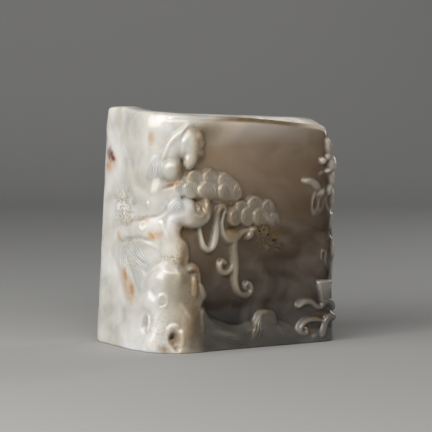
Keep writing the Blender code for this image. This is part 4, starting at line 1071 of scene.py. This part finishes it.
def painted_side_shade(u, z, fine, tone):
    """Painted shade at each place: on slopes turned from the lamps, and to the right of the near corner."""
    # painted shade on slopes that face right and down, away from the lamps
    across = np.gradient(fine, axis=1) / np.gradient(u, axis=1)
    up = np.gradient(fine, axis=0) / np.gradient(z, axis=0)
    shaded_slopes = blurred(np.clip(SLOPE_SHADE_DOWN * up - SLOPE_SHADE_RIGHT * across, 0.0, 1.0), SLOPE_SHADE_PASSES)
    shaded_slopes *= ease((u - SLOPE_SHADE_FROM) / SLOPE_SHADE_FADE)
    # painted shade that deepens to the right of the near corner, away from the lamps
    skin = ease((u - SIDE_SHADE_FROM) / SIDE_SHADE_FADE)
    skin *= 1.0 - (1.0 - SIDE_SHADE_LEFT_OVER) * ease((u - SIDE_SHADE_TO) / SIDE_SHADE_TO_FADE)
    skin *= 1.0 - ease((u - SIDE_SHADE_END) / SIDE_SHADE_END_FADE)
    # forms where the painted shade is lifted
    polished = spots(u, z, UNSHADED_FORMS)
    kept = np.maximum(shaded_slopes * (1.0 - SLOPE_SHADE_LIFTED * polished), skin * (1.0 - polished))
    return kept * (1.0 - tone)


def paint_wall(mesh, u, z, out, first_row):
    """Attributes the jade reads: marks in the stone, and where it is thin, dusty, dotted or in painted shade.
    """
    rows, columns = z.shape
    u = np.broadcast_to(u, z.shape)
    raised = out - ground(u, z)
    cover = ground_cover(u, z)
    fine = blurred(out, FINE_PASSES)
    tone = wall_tone(u, z, raised, cover)
    dust = dust_and_painted_shade(u, z, out, fine, raised, cover, tone)
    # the thin wall's brown with its painted shade and glow, dust with painted shade, painted side shade, and
    # dots
    wear_and_shade_parts = [tone, dust, painted_side_shade(u, z, fine, tone), spots(u, z, DOTTED_MARKS)]
    stained = [spots(u, z, places) for places in (IRON_MARKS, RUST_MARKS, OCHRE_AND_SHADE_MARKS, SPECKS)]
    first, last = first_row * columns, (first_row + rows) * columns
    for name, grids in (("marks", stained), ("wear", wear_and_shade_parts)):
        values = np.zeros((len(mesh.vertices), 4))
        values[first:last] = np.stack(grids, axis=-1).reshape(-1, 4)
        if name == "wear":
            values[last:, 0] = MOUTH_TONE
            values[last + ROUND_ROWS * columns:, 0] = INSIDE_TONE
        layer = mesh.attributes.new(name, "FLOAT_COLOR", "POINT")
        layer.data.foreach_set("color", values.ravel())


def srgb(code):
    """Linear colour from an sRGB hex value."""
    channels = [int(code[i:i + 2], 16) / 255 for i in (1, 3, 5)]
    return (*[c / 12.92 if c <= 0.04045 else ((c + 0.055) / 1.055) ** 2.4 for c in channels], 1.0)


def add_node(tree, kind, sockets=None, **settings):
    """Adds a node. A socket is given either a value or the output that it is linked from."""
    node = tree.nodes.new(kind)
    for name, value in settings.items():
        setattr(node, name, value)
    for key, value in (sockets or {}).items():
        if isinstance(value, bpy.types.NodeSocket):
            tree.links.new(value, node.inputs[key])
        else:
            node.inputs[key].default_value = value
    return node


def mix_colours(tree, share, first, second, blend="MIX"):
    sockets = {0: share, 6: first, 7: second}
    return add_node(tree, "ShaderNodeMix", sockets, data_type="RGBA", blend_type=blend).outputs[2]


def between(tree, value, low, high, new_low=0.0, new_high=1.0):
    sockets = {0: value, 1: low, 2: high, 3: new_low, 4: new_high}
    return add_node(tree, "ShaderNodeMapRange", sockets).outputs[0]


def times(tree, first, second):
    return add_node(tree, "ShaderNodeMath", {0: first, 1: second}, operation="MULTIPLY").outputs[0]


def noise(tree, place, size, detail, distortion=0.0):
    """Noise whose clouds are about a size across, in millimetres."""
    sockets = {"Vector": place, "Scale": 1.0 / (size * MM), "Detail": detail, "Distortion": distortion}
    return add_node(tree, "ShaderNodeTexNoise", sockets).outputs["Fac"]


def tinted(tree, share, colour, tint):
    """A colour multiplied by a tint, in part."""
    return mix_colours(tree, share, colour, mix_colours(tree, 1.0, colour, tint, "MULTIPLY"))


def thick_stone(tree, place):
    """Where the stone is thick: cloudy grey-white to grey-green, with whiter wisps."""
    clouds = between(tree, noise(tree, place, *CLOUDS), *CLOUDS_SHOW)
    colour = mix_colours(tree, clouds, srgb(CLOUD_LIGHT), srgb(CLOUD_DARK))
    wisps = between(tree, noise(tree, place, *WISPS), *WISPS_SHOW)
    return mix_colours(tree, times(tree, wisps, WISP_SHARE), colour, srgb(WISP_WHITE))


def thin_stone(tree, place):
    """Sunk thin wall: brown, painted shade at its foot and greyer right, a painted glow by the rim."""
    at = add_node(tree, "ShaderNodeSeparateXYZ", {0: place}).outputs
    # Painted shade darkens the thin wall at its foot and to its right, and a painted glow pales it by the rim
    wall = srgb(THIN_SHADED_FOOT)
    for low, high, colour in THIN_GLOW_UPWARDS:
        wall = mix_colours(tree, between(tree, at["Z"], low, high), wall, srgb(colour))
    left, right, tint = THIN_SHADE_RIGHTWARDS
    wall = tinted(tree, between(tree, at["X"], left, right), wall, srgb(tint))
    veins = between(tree, noise(tree, place, *VEINS), *VEINS_SHOW)
    return mix_colours(tree, veins, wall, srgb(VEIN_PALE))


def stains(tree, place, grain, colour, mark, specks, dots):
    """Ochre that is partly painted shade, yellow-brown dots, rust, iron brown and black specks, over a
    colour.
    """
    # ochre stains, partly painted shade on the forms' right sides and in hollows
    ochre_and_shade = times(tree, mark[2], between(tree, noise(tree, place, *FLECKS), *OCHRE_AND_SHADE_GRAIN))
    colour = mix_colours(tree, times(tree, ochre_and_shade, STAIN_SHARE), colour, srgb(OCHRE_AND_SHADE))
    cells = add_node(tree, "ShaderNodeTexVoronoi", {"Vector": place, "Scale": 1.0 / (DOT_PITCH * MM)})
    dots = times(tree, dots, between(tree, cells.outputs["Distance"], *DOTS_SHOW))
    colour = mix_colours(tree, dots, colour, srgb(DOT_BROWN))
    rust = times(tree, mark[1], between(tree, noise(tree, place, *RUST_CLOUDS), *RUST_GRAIN))
    colour = mix_colours(tree, times(tree, rust, STAIN_SHARE), colour, srgb(RUST))
    iron = times(tree, mark[0], between(tree, grain, *IRON_GRAIN))
    colour = mix_colours(tree, iron, colour, srgb(IRON))
    return mix_colours(tree, specks, colour, srgb(SPECK_BLACK))


def polished_nephrite(name, scatter=1.0):
    """Nephrite jade, ground and polished: a waxy gloss over a stone that light enters, cloudy and pale where
    it is thick, brown where it is thin, warm and brown in painted shade, with dust and painted shade in
    its hollows."""
    material = bpy.data.materials.new(name)
    material.use_nodes = True
    tree = material.node_tree
    shader = tree.nodes["Principled BSDF"]
    place = add_node(tree, "ShaderNodeTexCoord").outputs["Object"]
    marks = add_node(tree, "ShaderNodeAttribute", attribute_name="marks").outputs
    mark = add_node(tree, "ShaderNodeSeparateColor", {0: marks["Color"]}).outputs
    wear = add_node(tree, "ShaderNodeAttribute", attribute_name="wear").outputs
    wear_and_shade_parts = add_node(tree, "ShaderNodeSeparateColor", {0: wear["Color"]}).outputs

    grain = noise(tree, place, *GRAIN)
    # the thin wall's brown, with its painted shade and glow
    colour = mix_colours(tree, wear_and_shade_parts[0], thick_stone(tree, place), thin_stone(tree, place))
    # painted shade: a warm tint, then a brown multiply, on the forms' shaded sides
    colour = tinted(tree, between(tree, wear_and_shade_parts[2], *WARMTH_SHOWS), colour, srgb(WARM_TINT))
    skin = times(tree, between(tree, wear_and_shade_parts[2], *SIDE_SHADE_SHOWS), between(tree, grain, *SIDE_SHADE_GRAIN))
    colour = tinted(tree, skin, colour, srgb(SIDE_SHADE_TINT))
    # dust with painted shade in the hollows
    dust = times(tree, wear_and_shade_parts[1], between(tree, grain, *DUST_AND_SHADE_GRAIN))
    colour = mix_colours(tree, times(tree, dust, DUST_AND_SHADE_SHARE), colour, srgb(DUST_AND_SHADE_BROWN))
    colour = stains(tree, place, grain, colour, mark, marks["Alpha"], wear["Alpha"])
    tree.links.new(colour, shader.inputs["Base Color"])

    sockets = {0: between(tree, noise(tree, place, *SHEEN), *POLISH), 1: times(tree, wear_and_shade_parts[1], DUST_ROUGHNESS)}
    rough = add_node(tree, "ShaderNodeMath", sockets, operation="ADD")
    tree.links.new(rough.outputs[0], shader.inputs["Roughness"])
    sockets = {"Height": noise(tree, place, *PITS), "Strength": PIT_STRENGTH, "Distance": PIT_DEPTH * MM}
    bump = add_node(tree, "ShaderNodeBump", sockets)
    tree.links.new(bump.outputs[0], shader.inputs["Normal"])
    shader.inputs["IOR"].default_value = NEPHRITE_IOR
    shader.inputs["Subsurface Weight"].default_value = scatter
    shader.inputs["Subsurface Radius"].default_value = SCATTER_COLOURS
    shader.inputs["Subsurface Scale"].default_value = SCATTER_DEPTH * MM
    return material


def make_pot():
    """The whole pot as one closed skin."""
    u = column_places()
    rows, z, out, first_row = skin_rows(u)
    count, columns = rows.shape[:2]
    points = np.vstack([rows.reshape(-1, 3), [(0.0, 0.0, 0.0), (0.0, 0.0, FLOOR)]])
    material = polished_nephrite("polished_nephrite")
    mesh = make_mesh("jade_pot", points, skin_faces(count, columns), material)
    paint_wall(mesh, u, z, out, first_row)
    pot = add_object("jade_pot", mesh)
    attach(pot, "root")
    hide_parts("brush_pot")
    return pot


def even_places(path, count):
    """A number of places evenly along a smooth curve through the path."""
    line = curve_through(path, LINE_STEP)
    run = np.concatenate([[0.0], np.cumsum(np.hypot(*np.diff(line, axis=0).T))])
    share = np.linspace(0.0, run[-1], count)
    return np.stack([np.interp(share, run, line[:, k]) for k in (0, 1)], axis=-1)


def strands(count, first, last):
    """Lines that run side by side from a first curve over to a last one."""
    a, b = even_places(first, GUIDE_PLACES), even_places(last, GUIDE_PLACES)
    return [a + (b - a) * k / (count - 1) for k in range(count)]


def needle_tuft(centre_u, centre_z, root, length, turn_from, turn_to, count):
    """Needles that spread from a point."""
    tuft = []
    for turn in np.radians(np.linspace(turn_from, turn_to, count)):
        away = np.linspace(root, length, GUIDE_PLACES)
        tuft.append(np.stack([centre_u + away * math.cos(turn), centre_z + away * math.sin(turn)], axis=-1))
    return tuft


def fan_ribs(fans):
    """Ribs over the fans, from foot to edge, where a fan isn't covered by the next one."""
    lines, tops = [], []
    for fan in fans:
        u, z, width, height, turn, top = fan
        cos, sin = math.cos(math.radians(turn)), math.sin(math.radians(turn))
        share = np.linspace(RIB_ROOT, 1.0, GUIDE_PLACES)
        for angle in np.radians(np.linspace(RIB_TO, RIB_FROM, round(width * RIBS_PER_MM))):
            a = width * RIB_INSET * math.cos(angle) * (RIB_SPREAD + (1 - RIB_SPREAD) * share)
            b = height * RIB_INSET * (share * (math.sin(angle) + 1.0) - 1.0)
            line = np.stack([u + a * cos - b * sin, z + a * sin + b * cos], axis=-1)
            lines.append(line)
            tops.append(lobe_height(line[:, 0], line[:, 1], fan, -GROUND_DEPTH, FAN_BLUNT, FAN_TILT))
    places = np.array(lines)
    on_top = np.abs(np.array(tops) - carved(places[..., 0], places[..., 1])) < RIB_TOLERANCE
    ribs = []
    for line, shown in zip(places, on_top):
        for k in np.split(np.arange(GUIDE_PLACES), np.flatnonzero(np.diff(shown)) + 1):
            if shown[k[0]] and len(k) >= RIB_LEAST_PLACES:
                ribs.append(line[k])
    return ribs


def guide_mesh(lines):
    """Edges along the lines, just off the wall. Each point knows the way in and the line's radius there."""
    places = np.vstack([line for line, thick in lines])
    level = carved(places[:, 0], places[:, 1]) + GUIDE_CLEAR
    points = on_wall(places[:, 0], places[:, 1], level)
    inward = on_wall(places[:, 0], places[:, 1], level - 1.0) - points
    inward /= np.linalg.norm(inward, axis=1)[:, None]
    radius, edges = [], []
    for line, thick in lines:
        start = len(radius)
        taper = np.sin(np.linspace(LINE_TIP, math.pi - LINE_TIP, len(line))) ** LINE_TAPER
        radius.extend(thick * taper * MM)
        edges.extend((start + k, start + k + 1) for k in range(len(line) - 1))
    mesh = bpy.data.meshes.new("line_guides")
    mesh.from_pydata((points * MM).tolist(), edges, [])
    mesh.attributes.new("inward", "FLOAT_VECTOR", "POINT").data.foreach_set("vector", inward.ravel())
    mesh.attributes.new("radius", "FLOAT", "POINT").data.foreach_set("value", np.array(radius))
    return mesh


def named_values(tree, name, kind):
    node = add_node(tree, "GeometryNodeInputNamedAttribute", {"Name": name}, data_type=kind)
    return node.outputs["Attribute"]


def line_tree():
    """Nodes that drop guide lines onto a body and draw each as a thin raised line in the body's tones."""
    tree = bpy.data.node_groups.new("raised_lines", "GeometryNodeTree")
    inputs = {}
    for name, kind in LINE_INPUTS:
        inputs[name] = tree.interface.new_socket(name, in_out="INPUT", socket_type=kind).identifier
    tree.interface.new_socket("Lines", in_out="OUTPUT", socket_type="NodeSocketGeometry")
    given = add_node(tree, "NodeGroupInput").outputs
    body = add_node(tree, "GeometryNodeObjectInfo", {"Object": given["Body"]}).outputs["Geometry"]
    ray = {"Target Geometry": body, "Ray Direction": named_values(tree, "inward", "FLOAT_VECTOR"),
           "Ray Length": given["Reach"]}
    drop = add_node(tree, "GeometryNodeRaycast", ray).outputs
    missed = add_node(tree, "FunctionNodeBooleanMath", {0: drop["Is Hit"]}, operation="NOT").outputs[0]
    shape = add_node(tree, "GeometryNodeDeleteGeometry", {"Geometry": given["Guides"], "Selection": missed})
    for name in ("marks", "wear"):
        sockets = {**ray, "Attribute": named_values(tree, name, "FLOAT_COLOR")}
        tone = add_node(tree, "GeometryNodeRaycast", sockets, data_type="FLOAT_COLOR").outputs["Attribute"]
        sockets = {"Geometry": shape.outputs[0], "Name": name, "Value": tone}
        shape = add_node(tree, "GeometryNodeStoreNamedAttribute", sockets, data_type="FLOAT_COLOR")
    radius = named_values(tree, "radius", "FLOAT")
    thick = times(tree, radius, given["Thickness"])
    raised = times(tree, thick, given["Lift"])
    sockets = {0: drop["Hit Normal"], "Scale": raised}
    offset = add_node(tree, "ShaderNodeVectorMath", sockets, operation="SCALE").outputs[0]
    sockets = {"Geometry": shape.outputs[0], "Position": drop["Hit Position"], "Offset": offset}
    shape = add_node(tree, "GeometryNodeSetPosition", sockets)
    curves = add_node(tree, "GeometryNodeMeshToCurve", {"Mesh": shape.outputs[0]}).outputs[0]
    sockets = {"Resolution": given["Sides"], "Radius": 1.0}
    ring = add_node(tree, "GeometryNodeCurvePrimitiveCircle", sockets).outputs[0]
    sockets = {"Curve": curves, "Profile Curve": ring, "Scale": thick, "Fill Caps": True}
    tubes = add_node(tree, "GeometryNodeCurveToMesh", sockets).outputs[0]
    whole = add_node(tree, "GeometryNodeRealizeInstances", {"Geometry": tubes}).outputs[0]
    stone = add_node(tree, "GeometryNodeSetMaterial", {"Geometry": whole, "Material": given["Stone"]})
    add_node(tree, "NodeGroupOutput", {"Lines": stone.outputs[0]})
    return tree, inputs


def make_lines(pot):
    """The fine lines of the carving, raised a hair's breadth from the pot."""
    lines = [(line, STRAND_RADIUS) for group in STRAND_GROUPS for line in strands(*group)]
    lines += [(line, NEEDLE_RADIUS) for tuft in NEEDLE_TUFTS for line in needle_tuft(*tuft)]
    lines += [(line, RIB_RADIUS) for line in fan_ribs(FRONT_FANS)]
    tree, inputs = line_tree()
    item = add_object("fine_lines", guide_mesh(lines))
    modifier = item.modifiers.new("raised_lines", "NODES")
    modifier.node_group = tree
    stone = polished_nephrite("polished_nephrite_lines", LINE_SCATTER)
    values = {"Body": pot, "Stone": stone, "Reach": LINE_REACH * MM, "Thickness": 1.0, "Lift": LINE_LIFT,
              "Sides": LINE_SIDES}
    for name, value in values.items():
        modifier[inputs[name]] = value
    item.data = bpy.data.meshes.new_from_object(item.evaluated_get(bpy.context.evaluated_depsgraph_get()))
    item.modifiers.clear()
    item.data.shade_smooth()
    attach(item, "root")
    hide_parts("brush_pot")


def plain_paint(name, code, roughness):
    material = bpy.data.materials.new(name)
    material.use_nodes = True
    shader = material.node_tree.nodes["Principled BSDF"]
    shader.inputs["Base Color"].default_value = srgb(code)
    shader.inputs["Roughness"].default_value = roughness
    return material


def make_floor():
    """A plain pale sweep of paper under and behind the pot."""
    profile = [(SWEEP_FRONT, 0.0), (SWEEP_BACK - SWEEP_BEND, 0.0)]
    for k in range(1, SWEEP_STEPS + 1):
        angle = k / SWEEP_STEPS * math.pi / 2
        depth = SWEEP_BACK - SWEEP_BEND + SWEEP_BEND * math.sin(angle)
        profile.append((depth, SWEEP_BEND * (1 - math.cos(angle))))
    profile.append((SWEEP_BACK, SWEEP_RISE))
    half = SWEEP_WIDTH / 2 / MM
    points = []
    for depth, height in profile:
        points += [(-half, depth / MM, height / MM), (half, depth / MM, height / MM)]
    faces = [(2 * i, 2 * i + 1, 2 * i + 3, 2 * i + 2) for i in range(len(profile) - 1)]
    mesh = make_mesh("paper_sweep", points, faces, plain_paint("pale_paper", "#aaa9a6", 0.8))
    sweep = add_object("paper_sweep", mesh)
    sweep.rotation_euler.z = math.radians(CAMERA_TURN)


def make_camera():
    turn, pitch = math.radians(CAMERA_TURN), math.radians(CAMERA_PITCH)
    forward = Vector((-math.sin(turn) * math.cos(pitch), math.cos(turn) * math.cos(pitch), -math.sin(pitch)))
    data = bpy.data.cameras.new("camera")
    data.sensor_width = SENSOR_MM
    data.lens = SENSOR_MM * FOCAL_PIXELS / FRAME_PIXELS
    camera = add_object("camera", data)
    camera.location = (
        CAMERA_ASIDE * math.cos(turn) + math.sin(turn) * CAMERA_DISTANCE,
        CAMERA_ASIDE * math.sin(turn) - math.cos(turn) * CAMERA_DISTANCE,
        CAMERA_HEIGHT,
    )
    camera.rotation_euler = forward.to_track_quat("-Z", "Y").to_euler()
    bpy.context.scene.camera = camera


def make_light(name, turn, height, distance, width, tall, power):
    """A soft box that faces the middle of the pot, from a turn round it and a height, in degrees."""
    turn, height = math.radians(turn), math.radians(height)
    data = bpy.data.lights.new(name, "AREA")
    data.shape = "RECTANGLE"
    data.size = width
    data.size_y = tall
    data.energy = power
    lamp = add_object(name, data)
    middle = Vector((0.0, 0.0, HEIGHT / 2 * MM))
    away = Vector((math.sin(turn) * math.cos(height), -math.cos(turn) * math.cos(height), math.sin(height)))
    lamp.location = middle + away * distance
    lamp.rotation_euler = away.to_track_quat("Z", "Y").to_euler()


def make_lights():
    for box in SOFT_BOXES:
        make_light(*box)
    world = bpy.data.worlds.new("room")
    world.use_nodes = True
    background = world.node_tree.nodes["Background"]
    background.inputs["Color"].default_value = srgb("#c8ccd2")
    background.inputs["Strength"].default_value = ROOM_LIGHT
    bpy.context.scene.world = world
    bpy.context.scene.view_settings.view_transform = "Standard"


make_camera()
make_floor()
make_lights()
make_lines(make_pot())
